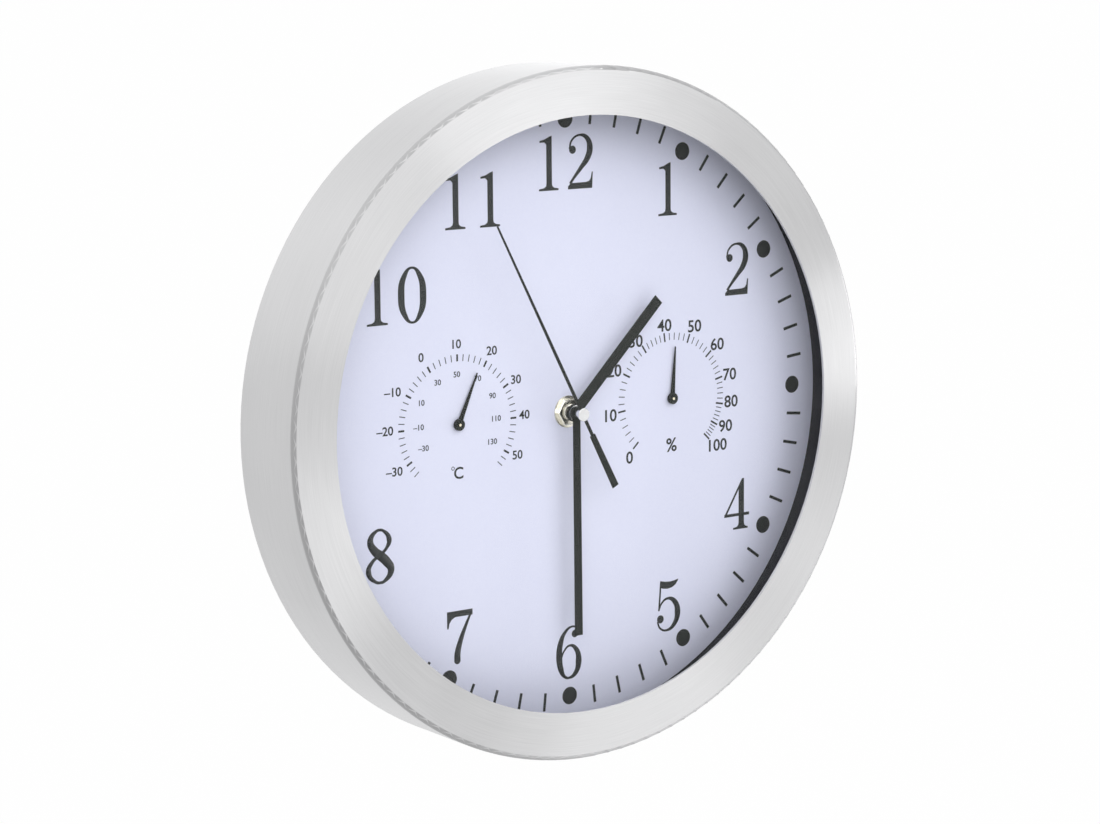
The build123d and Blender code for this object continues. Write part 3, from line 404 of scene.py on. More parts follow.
@dataclass(frozen=True)
class Finish:
    """A material: two colours, a gloss, marks sized in millimetres, and, if any, duller edges in
    a darker colour of painted shade.
    """

    name: str
    color: str
    shade: str
    roughness: tuple[float, float] = (0.4, 0.5)
    metallic: float = 0.0
    texture: Texture = Texture.EVEN
    centre: Point = (0.0, 0.0)
    marks: Triple = (0.5, 0.5, 0.5)
    relief: float = 0.01
    patches: float = 12.0
    ior: float = 1.5
    specular: float = 0.5
    anisotropic: float = 0.0
    subsurface: float = 0.0
    coat: float = 0.0
    detail: float = 3.0
    # Colour of rounded edges, darker than the flats: painted shade of a turned-over edge.
    edge: Optional[str] = None
    edge_roughness: float = 0.75

    def coordinates(self, tree: Tree) -> Socket:
        """Gives places in millimetres from the finish's centre, with the wall at zero.

        Args:
            tree: Node tree of the material.

        Returns:
            The places.
        """
        across, up = self.centre
        place = node(tree, "TexCoord", take="Object")
        origin = (-across, 0.0, AXIS_DROP - up)
        scale = (1 / MILLIMETRE,) * 3
        inputs = {"Vector": place, "Location": origin, "Scale": scale}
        return node(tree, "Mapping", inputs)

    def run(self, tree: Tree, place: Socket) -> Socket:
        """Stretches the marks along the way they run.

        Args:
            tree: Node tree of the material.
            place: Places in millimetres.

        Returns:
            Coordinates in which one mark is one unit long each way.
        """
        along, through, across = self.marks
        if self.texture is Texture.EVEN:
            sizes = (1 / along, 1 / through, 1 / across)
            return node(tree, "VectorMath", {0: place, 1: sizes}, operation="MULTIPLY")
        flat = node(tree, "VectorMath", {0: place, 1: ALONG_WALL}, operation="MULTIPLY")
        radius = node(tree, "VectorMath", {0: flat}, operation="LENGTH", take="Value")
        around = node(tree, "VectorMath", {0: flat}, operation="NORMALIZE")
        depth = node(tree, "SeparateXYZ", {0: place}, take="Y")
        reach = node(tree, "Math", {0: radius, 1: depth}, operation="ADD")
        ring = node(tree, "Math", {0: reach, 1: 1 / across}, operation="MULTIPLY")
        inputs = {0: around, 1: (along,) * 3, 2: node(tree, "CombineXYZ", {"Y": ring})}
        return node(tree, "VectorMath", inputs, operation="MULTIPLY_ADD")

    def rounded(self, tree: Tree) -> Socket:
        """Tells rounded edges from the flats that face the room and the sides along the axis.

        Args:
            tree: Node tree of the material.

        Returns:
            One on the edges and zero elsewhere.
        """
        normal = node(tree, "NewGeometry", take="True Normal")
        out = node(tree, "SeparateXYZ", {0: normal}, take="Y")
        square = node(tree, "Math", {0: out, 1: out}, operation="MULTIPLY")
        rest = node(tree, "Math", {0: 1.0, 1: square}, operation="SUBTRACT")
        tilt = node(tree, "Math", {0: square, 1: rest}, operation="MULTIPLY")
        return node(tree, "MapRange", {"Value": tilt, **ROUNDING})

    def material(self) -> bpy.types.Material:
        """Builds the material once, and gives it again when it is there.

        Returns:
            The material.
        """
        known = bpy.data.materials.get(self.name)
        if known:
            return known
        made = bpy.data.materials.new(self.name)
        made.use_nodes = True
        made.node_tree.nodes.clear()
        node(made.node_tree, "OutputMaterial", {"Surface": self.surface(made.node_tree)})
        return made

    def surface(self, tree: Tree) -> Socket:
        """Builds the shader: marks and patches drive colour, gloss and relief.

        Args:
            tree: Node tree of the material.

        Returns:
            The shader's output.
        """
        place = self.coordinates(tree)
        grain = {"Vector": self.run(tree, place), "Scale": 1.0, "Detail": self.detail}
        marks = node(tree, "TexNoise", grain)
        clouds = {"Vector": place, "Scale": 1 / self.patches, "Detail": 2.0}
        patches = node(tree, "TexNoise", clouds)
        both = node(tree, "Math", {0: marks, 1: patches}, operation="ADD")
        spread = node(tree, "MapRange", {"Value": both, **SPREAD})
        colors = {"Factor": spread, 6: self.color, 7: self.shade}
        tone = node(tree, "Mix", colors, data_type="RGBA", take=2)
        low, high = self.roughness
        levels = {"Value": both, **SPREAD, "To Min": low, "To Max": high}
        gloss = node(tree, "MapRange", levels)
        # Rounded edges take the edge colour, painted shade for the grey line of a turned-over
        # edge, and a duller gloss.
        if self.edge:
            rounded = self.rounded(tree)
            colors = {"Factor": rounded, 6: tone, 7: self.edge}
            tone = node(tree, "Mix", colors, data_type="RGBA", take=2)
            levels = {"Factor": rounded, 2: gloss, 3: self.edge_roughness}
            gloss = node(tree, "Mix", levels)
        ridges = {"Height": marks, "Strength": 1.0, "Distance": self.relief * MILLIMETRE}
        inputs: dict[Union[str, int], Value] = {
            "Base Color": tone,
            "Roughness": gloss,
            "Normal": node(tree, "Bump", ridges),
            "Metallic": self.metallic,
            "Anisotropic": self.anisotropic,
            "Subsurface Weight": self.subsurface,
            "Coat Weight": self.coat,
        }
        if not self.metallic:
            inputs["IOR"] = self.ior
            inputs["Specular IOR Level"] = self.specular
        if self.subsurface:
            inputs["Subsurface Scale"] = MILLIMETRE
        if self.anisotropic:
            inputs["Anisotropic Rotation"] = BRUSHED_TURN
            flat = node(tree, "VectorMath", {0: place, 1: ALONG_WALL}, operation="MULTIPLY")
            ways = {0: flat, 1: OUT_OF_WALL}
            inputs["Tangent"] = node(tree, "VectorMath", ways, operation="CROSS_PRODUCT")
        return node(tree, "BsdfPrincipled", inputs)


@dataclass(frozen=True)
class ClearGlass(Finish):
    """Float glass: clear and flat, with the faintest smears, and it throws no shadow."""

    def surface(self, tree: Tree) -> Socket:
        """Builds the glass and lets light through it to what it covers.

        Args:
            tree: Node tree of the material.

        Returns:
            The shader's output.
        """
        place = self.coordinates(tree)
        smears = node(tree, "TexNoise", {"Vector": place, "Scale": 1 / self.patches})
        low, high = self.roughness
        levels = {"Value": smears, **SMEARS, "To Min": low, "To Max": high}
        inputs = {
            "Base Color": self.color,
            "Roughness": node(tree, "MapRange", levels),
            "IOR": self.ior,
            "Transmission Weight": 1.0,
        }
        glass = node(tree, "BsdfPrincipled", inputs)
        clear = node(tree, "BsdfTransparent")
        rays = node(tree, "LightPath").node.outputs
        light = {0: rays["Is Shadow Ray"], 1: rays["Is Diffuse Ray"]}
        passing = node(tree, "Math", light, operation="MAXIMUM")
        return node(tree, "MixShader", {0: passing, 1: glass, 2: clear})


@dataclass(frozen=True)
class BandedFoil(Finish):
    """Printed foil round a battery: a dark body and a metal-coloured band at its plus end."""

    band_from: float = 10.0

    def surface(self, tree: Tree) -> Socket:
        """Builds the foil with its two colours side by side along the cell.

        Args:
            tree: Node tree of the material.

        Returns:
            The shader's output.
        """
        place = self.coordinates(tree)
        across = node(tree, "SeparateXYZ", {0: place}, take="X")
        beyond = {0: across, 1: self.band_from}
        band = node(tree, "Math", beyond, operation="GREATER_THAN")
        grain = node(tree, "TexNoise", {"Vector": place, "Scale": 1 / self.patches})
        low, high = self.roughness
        gloss = node(tree, "MapRange", {"Value": grain, "To Min": low, "To Max": high})
        colors = {"Factor": band, 6: self.color, 7: self.shade}
        inputs = {
            "Base Color": node(tree, "Mix", colors, data_type="RGBA", take=2),
            "Roughness": gloss,
            "Metallic": self.metallic,
            "Coat Weight": self.coat,
        }
        return node(tree, "BsdfPrincipled", inputs)


def dress(piece: Piece, finish: Finish) -> None:
    """Gives a piece one finish all over.

    Args:
        piece: Object to dress.
        finish: Its finish.
    """
    if not piece.material_slots:
        piece.data.materials.append(finish.material())
    for slot in piece.material_slots:
        slot.material = finish.material()


# Aluminium sheet spun to a ring and brushed while it turned: a pale metal whose fine rings
# draw the light out into bright fans across the bezel. The rings are drawn coarser than the
# brush leaves them, so that they show. Where the sheet rolls over it is duller, and its
# greyer colour there is painted shade for the grey line along the turned-over edge.
SPUN_ALUMINIUM = Finish(
    "brushed_aluminium_spun", "#DCDCDD", "#D3D3D4", roughness=(0.37, 0.43), metallic=1.0,
    texture=Texture.TURNED, marks=(6.0, 1.0, 0.3), relief=0.0015, patches=80.0,
    anisotropic=0.975, detail=2.0, edge="#CCCCCD",
)
# Anti-reflection float glass: all but unseen, with only the faintest veil over the dial.
FLOAT_GLASS = ClearGlass(
    "float_glass", "#FFFFFF", "#FFFFFF", roughness=(0.0, 0.02), ior=1.18, patches=35.0
)
# Aluminium sheet under a baked satin lacquer: white with a touch of lavender.
DIAL_LACQUER = Finish(
    "satin_white_lacquer", "#E3E6FA", "#E0E3F8", roughness=(0.45, 0.52), specular=0.3,
    marks=(1.2, 1.2, 1.2), relief=0.003, patches=45.0,
)
# Screen-printing ink: a charcoal film that lies matt on the lacquer.
PRINT_INK = Finish(
    "charcoal_screen_ink", "#292C2C", "#313434", roughness=(0.5, 0.62), specular=0.3,
    marks=(0.4, 0.4, 0.4), relief=0.004, patches=5.0,
)
# The same ink in a lighter screen: small figures look greyer than the numerals.
PALE_INK = Finish(
    "grey_screen_ink", "#3C4046", "#464A51", roughness=(0.5, 0.62), specular=0.3,
    marks=(0.3, 0.3, 0.3), relief=0.003, patches=4.0,
)
# Moulded black ABS: a soft sheen broken by a fine spark-eroded grain.
BLACK_ABS = Finish(
    "black_abs_moulded", "#292A2D", "#303135", roughness=(0.42, 0.55), specular=0.25,
    marks=(0.45, 0.45, 0.45), relief=0.02, patches=25.0,
)
# Zinc-plated steel: bluish bright metal with cloudy patches of passivation.
ZINC_STEEL = Finish(
    "zinc_plated_steel", "#C9CDD2", "#B3B4AE", roughness=(0.25, 0.4), metallic=1.0,
    marks=(0.6, 0.6, 0.6), relief=0.004, patches=3.0,
)
# Nickel-plated spring steel: warmer and smoother than zinc.
NICKEL_STEEL = Finish(
    "nickel_plated_spring_steel", "#D3CFC6", "#BDB8AC", roughness=(0.18, 0.3), metallic=1.0,
    marks=(0.15, 0.15, 4.0), relief=0.003, patches=4.0,
)
# Turned brass bar: a pale yellow metal that deepens where light bounces between its parts,
# with fine rings from the tool, drawn coarser than they are so that they show.
TURNED_BRASS = Finish(
    "turned_brass", "#F7F0DA", "#EBE0C0", roughness=(0.2, 0.34), metallic=1.0,
    texture=Texture.TURNED, marks=(1.5, 1.0, 0.12), relief=0.004, patches=3.0,
)
# Brass nose, nut and washer under worn nickel: silver, with a yellow that shows through where
# light bounces between the threads. Its tool marks are drawn coarser than they are.
THIN_NICKEL = Finish(
    "thin_nickel_on_brass", "#EFEDE4", "#E2DED0", roughness=(0.2, 0.32), metallic=1.0,
    texture=Texture.TURNED, marks=(1.5, 1.0, 0.18), relief=0.003, patches=4.0,
)
# Turned aluminium, polished: the bright cap and grey tube of the second hand, and the sleeve
# under the minute hand.
POLISHED_ALUMINIUM = Finish(
    "polished_aluminium", "#ECECED", "#DEDFE0", roughness=(0.16, 0.28), metallic=1.0,
    texture=Texture.TURNED, marks=(1.5, 1.0, 0.1), relief=0.003, patches=2.0,
)
# Aluminium strip under satin black enamel: the hands and pointers.
HAND_ENAMEL = Finish(
    "satin_black_enamel", "#1C1F1D", "#222623", roughness=(0.42, 0.52), specular=0.2,
    marks=(0.35, 0.35, 0.35), relief=0.003, patches=8.0,
)
# Moulded grey-black polystyrene: the movement's housing and cover.
MOVEMENT_PLASTIC = Finish(
    "black_polystyrene", "#26282A", "#2E3033", roughness=(0.3, 0.42), marks=(0.25, 0.25, 0.25),
    relief=0.008, patches=9.0,
)
# Moulded white acetal: wheels with a waxy, slightly see-through look.
WHITE_ACETAL = Finish(
    "white_acetal", "#EDEBE3", "#E2DFD4", roughness=(0.3, 0.4), marks=(0.3, 0.3, 0.3),
    relief=0.004, patches=3.0, subsurface=0.2,
)
# Sheet rubber: dull and dark with a fine dusty bloom.
SHEET_RUBBER = Finish(
    "gasket_rubber", "#1F1F1F", "#2B2A29", roughness=(0.75, 0.9), marks=(0.2, 0.2, 0.2),
    relief=0.015, patches=4.0,
)
# Annealed silicon steel: grey blue laminations with a sheared edge.
SILICON_STEEL = Finish(
    "silicon_steel", "#8E9196", "#777B82", roughness=(0.35, 0.5), metallic=1.0,
    marks=(6.0, 0.2, 6.0), relief=0.006, patches=3.0,
)
# Enamelled copper wire, wound side by side: a red-brown barrel with fine ridges.
COPPER_WINDING = Finish(
    "enamelled_copper_wire", "#B8673A", "#8E4A28", roughness=(0.22, 0.35), metallic=1.0,
    marks=(8.0, 8.0, 0.12), relief=0.03, patches=2.0, coat=0.3,
)
# Glass-fibre board under green solder resist: the weave shows faintly through.
SOLDER_RESIST = Finish(
    "green_solder_resist", "#1F6B3C", "#185531", roughness=(0.25, 0.35), marks=(0.5, 0.5, 0.12),
    relief=0.006, patches=2.5, coat=0.3,
)
# Potting resin dropped over a chip: a shiny black blob.
POTTING_RESIN = Finish(
    "black_epoxy_resin", "#141414", "#1C1B1A", roughness=(0.12, 0.25), marks=(1.0, 1.0, 1.0),
    relief=0.02, patches=2.0,
)
# Sintered ferrite: matt, dark and finely pitted.
FERRITE = Finish(
    "sintered_ferrite", "#3B3C3F", "#2D2E30", roughness=(0.6, 0.75), marks=(0.12, 0.12, 0.12),
    relief=0.012, patches=1.0,
)
# Bimetal: two metals rolled together, brassy with lines along the strip.
ROLLED_BIMETAL = Finish(
    "rolled_bimetal", "#B9AC86", "#98908A", roughness=(0.28, 0.4), metallic=1.0,
    marks=(3.0, 0.08, 3.0), relief=0.003, patches=2.0,
)
# Moisture-sensitive coated foil: tan, dull and slightly mottled.
COATED_FOIL = Finish(
    "humidity_coated_foil", "#C7B48A", "#B39F74", roughness=(0.5, 0.65), metallic=0.3,
    marks=(2.0, 0.1, 2.0), relief=0.005, patches=2.0,
)
# The battery's printed foil: charcoal with a copper-coloured end.
CELL_FOIL = BandedFoil(
    "battery_foil", "#2F3338", "#B9824C", roughness=(0.22, 0.36), metallic=0.35, coat=0.4,
    patches=1.5, band_from=13.0,
)


# Sub-assemblies


@dataclass(frozen=True)
class Nodes:
    """Frame nodes that keep their shape and take one finish."""

    finish: Finish
    names: Sequence[str]

    def dress(self) -> None:
        """Gives each node the finish."""
        for name in self.names:
            dress(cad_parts[name], self.finish)
            LOG.info("%s: %s", name, self.finish.name)


@dataclass
class Case:
    """The spun case with its glass, the pan behind it and their screws."""

    shells: Sequence[Nodes] = (
        Nodes(SPUN_ALUMINIUM, ("case_ring",)),
        Nodes(FLOAT_GLASS, ("front_glass",)),
        Nodes(BLACK_ABS, ("pan_rim", "rear_pan", "hanger_box")),
    )
    screw_ring: float = 144.2
    screw_count: int = 6
    screw_first: float = 30.0
    hanger_screw: Point = (15.9, 112.0)

    def build(self) -> None:
        """Dresses the case and puts in its screws."""
        for shell in self.shells:
            shell.dress()
        head = Screw(radius=1.45, head_radius=2.8, head_height=1.8, low=0.8, high=11.6)
        ring = self.screw_ring
        places = oval((0.0, 0.0), ring, ring, self.screw_count, self.screw_first)
        head.fill("case_screws", places, ("pan_screws",))
        head = Screw(radius=1.2, head_radius=2.3, head_height=1.4, low=15.0, high=20.0)
        across, up = self.hanger_screw
        head.fill("hanger_box_screws", [(-across, up), (across, up)], ("hanger_screws",))


@dataclass
class Screw:
    """A pan-head screw with a cross recess, its head towards the wall."""

    radius: float
    head_radius: float
    head_height: float
    low: float
    high: float
    sides: int = 40
    recess_share: float = 0.62
    slot_share: float = 0.2
    depth_share: float = 0.55
    recess_taper: float = 0.45
    dome_share: float = 0.55
    dome_steps: int = 5
    tip_share: float = 0.3
    crease: float = math.radians(35)

    def model(self) -> Piece:
        """Models one screw on the face's axis.

        Returns:
            The screw.
        """
        top = self.low + self.head_height
        screw = rod(self.head_radius, self.low, top, self.sides)
        with editing(screw):
            select_faces(screw, lambda at, normal: normal.z > SQUARELY)
            bpy.ops.mesh.inset(thickness=self.head_radius - self.radius)
            for length in (self.high - top - self.radius, self.radius):
                bpy.ops.mesh.extrude_region_move(
                    TRANSFORM_OT_translate={"value": (0.0, 0.0, length)}
                )
            bpy.ops.transform.resize(value=(self.tip_share, self.tip_share, 1.0))
        with editing(screw, "EDGE"):
            select_edges(screw, lambda a, b: max(a.z, b.z) < self.low + NEAR)
            dome = self.head_height * self.dome_share
            bpy.ops.mesh.bevel(offset=dome, segments=self.dome_steps, affect="EDGES")
        for turn in (0.0, FULL_TURN / 4):
            cut(screw, self.recess(turn), "DIFFERENCE")
        pick(screw)
        bpy.ops.object.shade_smooth_by_angle(angle=self.crease)
        return screw

    def recess(self, turn: float) -> Piece:
        """Models one wing of the cross recess, narrower at its bottom.

        Args:
            turn: Angle of the wing.

        Returns:
            The wing as a tool to cut with.
        """
        length = 2 * self.head_radius * self.recess_share
        width = self.head_radius * self.slot_share
        depth = 2 * self.head_height * self.depth_share
        wing = block((length, width, depth), self.low, turn)
        with editing(wing):
            select_faces(wing, lambda at, normal: normal.z > SQUARELY)
            bpy.ops.transform.resize(value=(self.recess_taper, self.recess_taper, 1.0))
        return wing

    def fill(self, name: str, places: Sequence[Point], replaced: Sequence[str]) -> None:
        """Puts a screw in each hole.

        Args:
            name: Name of the set of screws.
            places: Holes on the clock's face.
            replaced: Frame nodes that the set stands for.
        """
        first = self.model()
        screws = [copied(first, Matrix.Translation((x, y, 0.0))) for x, y in places]
        bpy.data.objects.remove(first)
        Place("clock_case", "zinc_steel", replaced).settle(joined(name, screws), ZINC_STEEL)


@dataclass(frozen=True)
class Glyph:
    """One numeral, built of strokes of changing width, round ends, plates and a ring."""

    strokes: Sequence[Sequence[Triple]] = ()
    plates: Sequence[Sequence[Point]] = ()
    balls: Sequence[Triple] = ()
    ring: Optional[tuple[float, float, float, float]] = None


# Steps between two points of a printed outline.
OUTLINE_STEPS = 12
# The numerals of the dial in millimetres from their left foot: nibs are x, y and the width
# of the stroke there, balls are x, y and a radius, and a ring is half its width and height
# outside and inside.
GLYPHS = {
    "1": Glyph(
        plates=[
            [(3.95, 0.4), (6.8, 0.4), (6.8, 23.4), (3.95, 21.0)],
            [
                (0.5, 20.6), (0.5, 21.4), (3.0, 21.9), (5.4, 23.0), (6.8, 23.4), (6.8, 20.0),
                (4.0, 19.6), (2.9, 20.7),
            ],
            [
                (0.0, 0.0), (10.2, 0.0), (10.2, 0.8), (8.0, 1.15), (7.0, 1.9), (6.75, 3.0),
                (3.95, 3.0), (3.7, 1.9), (2.6, 1.15), (0.0, 0.8),
            ],
        ]
    ),
    "2": Glyph(
        strokes=[
            [
                (0.95, 17.2, 0.8), (2.3, 21.0, 0.9), (6.6, 23.05, 0.95), (10.3, 21.6, 2.2),
                (11.8, 17.6, 3.1), (10.6, 13.3, 2.9), (7.2, 9.2, 2.0), (3.4, 5.0, 1.3),
                (1.2, 2.4, 1.2),
            ]
        ],
        plates=[
            [
                (0.05, 0.0), (12.9, 0.0), (13.3, 7.0), (12.75, 7.0), (12.2, 4.2), (11.3, 3.1),
                (9.5, 2.7), (2.6, 2.6), (1.9, 2.9), (0.1, 1.2),
            ]
        ],
        balls=[(2.6, 16.9, 1.75)],
    ),
    "4": Glyph(
        plates=[
            [(8.5, 0.4), (11.6, 0.4), (11.6, 23.3), (10.7, 23.3), (8.5, 19.9)],
            [(10.5, 23.3), (11.3, 22.9), (1.1, 6.3), (0.2, 6.8)],
            [(0.1, 6.1), (14.6, 6.1), (14.6, 7.45), (0.3, 7.45)],
            [
                (5.3, 0.0), (13.8, 0.0), (13.8, 0.8), (12.6, 1.1), (11.8, 1.8), (11.6, 2.9),
                (8.5, 2.9), (8.2, 1.8), (7.4, 1.1), (5.3, 0.8),
            ],
        ]
    ),
    "5": Glyph(
        strokes=[
            [(2.75, 23.3, 0.9), (2.2, 16.6, 0.9), (1.6, 10.0, 0.9)],
            [
                (1.35, 9.9, 0.8), (3.2, 13.3, 0.9), (6.6, 15.1, 1.1), (10.3, 13.4, 2.4),
                (12.1, 8.4, 3.2), (10.2, 2.9, 2.2), (6.0, 0.55, 1.0), (2.2, 1.9, 0.9),
                (0.75, 5.0, 0.8),
            ],
        ],
        plates=[
            [
                (2.5, 23.5), (5.0, 22.9), (8.0, 22.65), (10.5, 22.9), (12.5, 23.4),
                (12.3, 22.6), (10.9, 20.9), (9.0, 19.9), (6.5, 19.5), (4.0, 19.8), (2.6, 20.3),
            ]
        ],
        balls=[(2.4, 6.0, 1.85)],
    ),
    "6": Glyph(
        strokes=[
            [
                (11.9, 20.6, 0.8), (11.0, 22.6, 0.8), (8.4, 23.3, 0.9), (4.8, 21.0, 1.6),
                (2.4, 16.2, 2.8), (1.75, 10.5, 3.3), (2.6, 4.8, 2.8), (4.6, 1.3, 1.4),
                (7.0, 0.5, 1.0), (10.4, 2.2, 2.2), (12.2, 7.4, 3.2), (10.9, 12.9, 2.2),
                (7.6, 15.0, 1.0), (4.2, 12.6, 0.8), (3.0, 10.0, 0.7),
            ]
        ],
        balls=[(10.3, 20.0, 1.7)],
    ),
    "7": Glyph(
        strokes=[
            [
                (12.6, 22.0, 1.0), (9.8, 16.5, 1.5), (6.9, 10.0, 2.4), (5.3, 4.5, 3.1),
                (5.2, 1.6, 3.2),
            ]
        ],
        plates=[
            [(0.2, 20.7), (13.3, 20.7), (13.3, 23.3), (0.2, 23.3)],
            [
                (0.2, 23.2), (0.2, 15.9), (0.9, 15.9), (1.4, 18.2), (2.6, 19.8), (4.6, 20.8),
                (4.6, 23.2),
            ],
        ],
        balls=[(5.2, 1.6, 1.6)],
    ),
    "8": Glyph(
        strokes=[
            [
                (8.4, 22.9, 1.2), (7.2, 23.05, 1.2), (5.9, 22.85, 1.25), (2.6, 18.9, 2.9),
                (4.6, 14.4, 3.7), (7.4, 12.1, 4.1), (10.5, 9.2, 4.1), (12.6, 5.6, 3.3),
                (9.0, 0.9, 1.4), (7.2, 0.6, 1.2), (5.8, 0.75, 1.2),
            ],
            [
                (8.8, 0.8, 1.2), (7.2, 0.6, 1.2), (5.3, 0.95, 1.3), (1.45, 5.6, 2.6),
                (3.6, 10.0, 1.6), (7.3, 12.4, 1.2), (10.6, 15.1, 1.5), (11.9, 18.6, 2.5),
                (8.7, 22.75, 1.2), (7.2, 23.05, 1.2), (6.1, 22.9, 1.2),
            ],
        ]
    ),
    "0": Glyph(ring=(7.0, 11.95, 3.8, 11.0)),
}


def bezier(points: Sequence[Point], handles: str) -> Piece:
    """Draws an open curve on the face.

    Args:
        points: Points of the curve in order.
        handles: Type of its handles, VECTOR for corners and AUTO for a smooth line.

    Returns:
        The curve.
    """
    bpy.ops.curve.primitive_bezier_curve_add(location=(0.0, 0.0, 0.0))
    curve = bpy.context.object
    spline = curve.data.splines[0]
    spline.bezier_points.add(len(points) - 2)
    for point, (x, y) in zip(spline.bezier_points, points):
        point.co = (x, y, 0.0)
        point.handle_left_type = point.handle_right_type = handles
    return curve


def flat_curve(corners: Sequence[Point], handles: str = "VECTOR") -> Piece:
    """Draws a closed flat outline.

    Args:
        corners: Corners of the outline in order.
        handles: Type of its handles, VECTOR for corners and AUTO for a smooth line.

    Returns:
        The curve.
    """
    curve = bezier(corners, handles)
    curve.data.dimensions = "2D"
    curve.data.fill_mode = "BOTH"
    curve.data.resolution_u = OUTLINE_STEPS
    curve.data.splines[0].use_cyclic_u = True
    return curve


# All print stays with the case. A tick's corners are rounded by this share of its width.
PRINTED = Place("clock_case", "hand_black")
TICK_ROUNDING = 0.15


@dataclass
class DialPrint:
    """The numerals and the minute track, printed on the dial sheet."""

    surface: float = 21.2
    film: float = 0.06
    sunk: float = 0.04
    weld: float = 0.002
    stroke_steps: int = 8
    tick_count: int = 60
    hour_every: int = 5
    tick_from: float = 124.4
    tick_to: float = 132.5
    tick_width: float = 1.35
    dot_radius: float = 3.9
    dot_ring: float = 126.7
    nib: Optional[Piece] = None
    placed: Sequence[tuple[str, float, float]] = (
        ("1", -13.95, 96.3), ("2", 1.2, 96.3), ("1", 50.05, 81.8), ("2", 87.5, 43.7),
        ("4", 86.95, -63.7), ("5", 48.05, -105.5), ("6", -7.2, -119.15),
        ("7", -64.2, -103.7), ("8", -104.3, -63.6), ("1", -101.4, 45.3),
        ("0", -86.0, 44.85), ("1", -62.1, 82.7), ("1", -44.5, 82.7),
    )

    def build(self) -> None:
        """Lacquers the dial sheet and prints the numerals and the minute track."""
        Nodes(DIAL_LACQUER, ("dial_plate",)).dress()
        self.nib = self.make_nib()
        shapes = {digit: self.numeral(glyph) for digit, glyph in GLYPHS.items()}
        copies = [
            copied(shapes[digit], Matrix.Translation((x, y, 0.0))) for digit, x, y in self.placed
        ]
        for shape in (*shapes.values(), self.nib):
            bpy.data.objects.remove(shape)
        PRINTED.settle(joined("dial_numerals", copies), PRINT_INK)
        PRINTED.settle(self.track(), PRINT_INK)

    def make_nib(self) -> Piece:
        """Makes the flat pen, one wide, that draws the strokes.

        Returns:
            The pen.
        """
        nib = bezier([(-0.5, 0.0), (0.5, 0.0)], "VECTOR")
        nib.data.resolution_u = 1
        return nib

    def stroke(self, nibs: Sequence[Triple]) -> Piece:
        """Draws one stroke whose width changes along it.

        Args:
            nibs: Place and full width at each point of its middle line.

        Returns:
            The stroke as a flat ribbon.
        """
        curve = bezier([(x, y) for x, y, width in nibs], "AUTO")
        for point, (x, y, width) in zip(curve.data.splines[0].bezier_points, nibs):
            point.radius = width
        curve.data.twist_mode = "Z_UP"
        curve.data.resolution_u = self.stroke_steps
        curve.data.bevel_mode = "OBJECT"
        curve.data.bevel_object = self.nib
        return self.film_of(curve)

    def film_of(self, flat: Piece) -> Piece:
        """Turns a flat curve into a film of ink with its own thickness.

        Args:
            flat: Curve on the plane of the face.

        Returns:
            The film as a closed mesh on the dial.
        """
        pick(flat)
        bpy.ops.object.convert(target="MESH")
        film = bpy.context.object
        low = self.surface - self.sunk
        film.data.transform(Matrix.Translation((0.0, 0.0, low)))
        with editing(film):
            bpy.ops.mesh.select_all(action="SELECT")
            bpy.ops.mesh.remove_doubles(threshold=self.weld)
            select_faces(film, lambda at, normal: normal.z < 0)
            bpy.ops.mesh.flip_normals()
        return applied(film, "SOLIDIFY", thickness=self.film + self.sunk, offset=1.0)

    def numeral(self, glyph: Glyph) -> Piece:
        """Builds one numeral and melts its parts together.

        Args:
            glyph: The numeral's parts.

        Returns:
            The numeral, its left foot at the origin.
        """
        parts = [self.stroke(nibs) for nibs in glyph.strokes]
        parts += [self.film_of(flat_curve(corners)) for corners in glyph.plates]
        for x, y, radius in glyph.balls:
            parts.append(self.film_of(flat_curve(oval((x, y), radius, radius), "AUTO")))
        if glyph.ring:
            wide, high, hole_wide, hole_high = glyph.ring
            middle = (wide, high)
            outline = flat_curve(oval(middle, wide, high), "AUTO")
            hole = flat_curve(oval(middle, hole_wide, hole_high), "AUTO")
            parts.append(self.film_of(joined("ring", [outline, hole])))
        first, *others = parts
        for other in others:
            cut(first, other, "UNION")
        return closed(first)

    def track(self) -> Piece:
        """Prints the ticks of the minutes and the dots of the hours.

        Returns:
            The minute track.
        """
        length = self.tick_to - self.tick_from
        tick = dash(self.tick_width, length, self.surface - self.sunk, self.film + self.sunk)
        middle = (self.tick_from + self.tick_to) / 2
        dot = self.film_of(flat_curve(oval((0.0, 0.0), self.dot_radius, self.dot_radius), "AUTO"))
        marks = []
        for k in range(self.tick_count):
            turn = Matrix.Rotation(-FULL_TURN * k / self.tick_count, 4, "Z")
            hour = k % self.hour_every == 0
            out = Matrix.Translation((0.0, self.dot_ring if hour else middle, 0.0))
            marks.append(copied(dot if hour else tick, turn @ out))
        for shape in (tick, dot):
            bpy.data.objects.remove(shape)
        return joined("minute_track", marks)


def dash(width: float, length: float, low: float, thick: float) -> Piece:
    """Models one printed tick on the face's axis, its corners just rounded.

    Args:
        width: Width of the tick.
        length: Length of the tick.
        low: Height of its underside.
        thick: Thickness of the ink.

    Returns:
        The tick.
    """
    tick = block((width, length, thick), low + thick / 2)
    with editing(tick, "EDGE"):
        select_edges(tick, lambda a, b: abs(a.z - b.z) > thick / 2)
        bpy.ops.mesh.bevel(offset=width * TICK_ROUNDING, segments=2, affect="EDGES")
    return tick


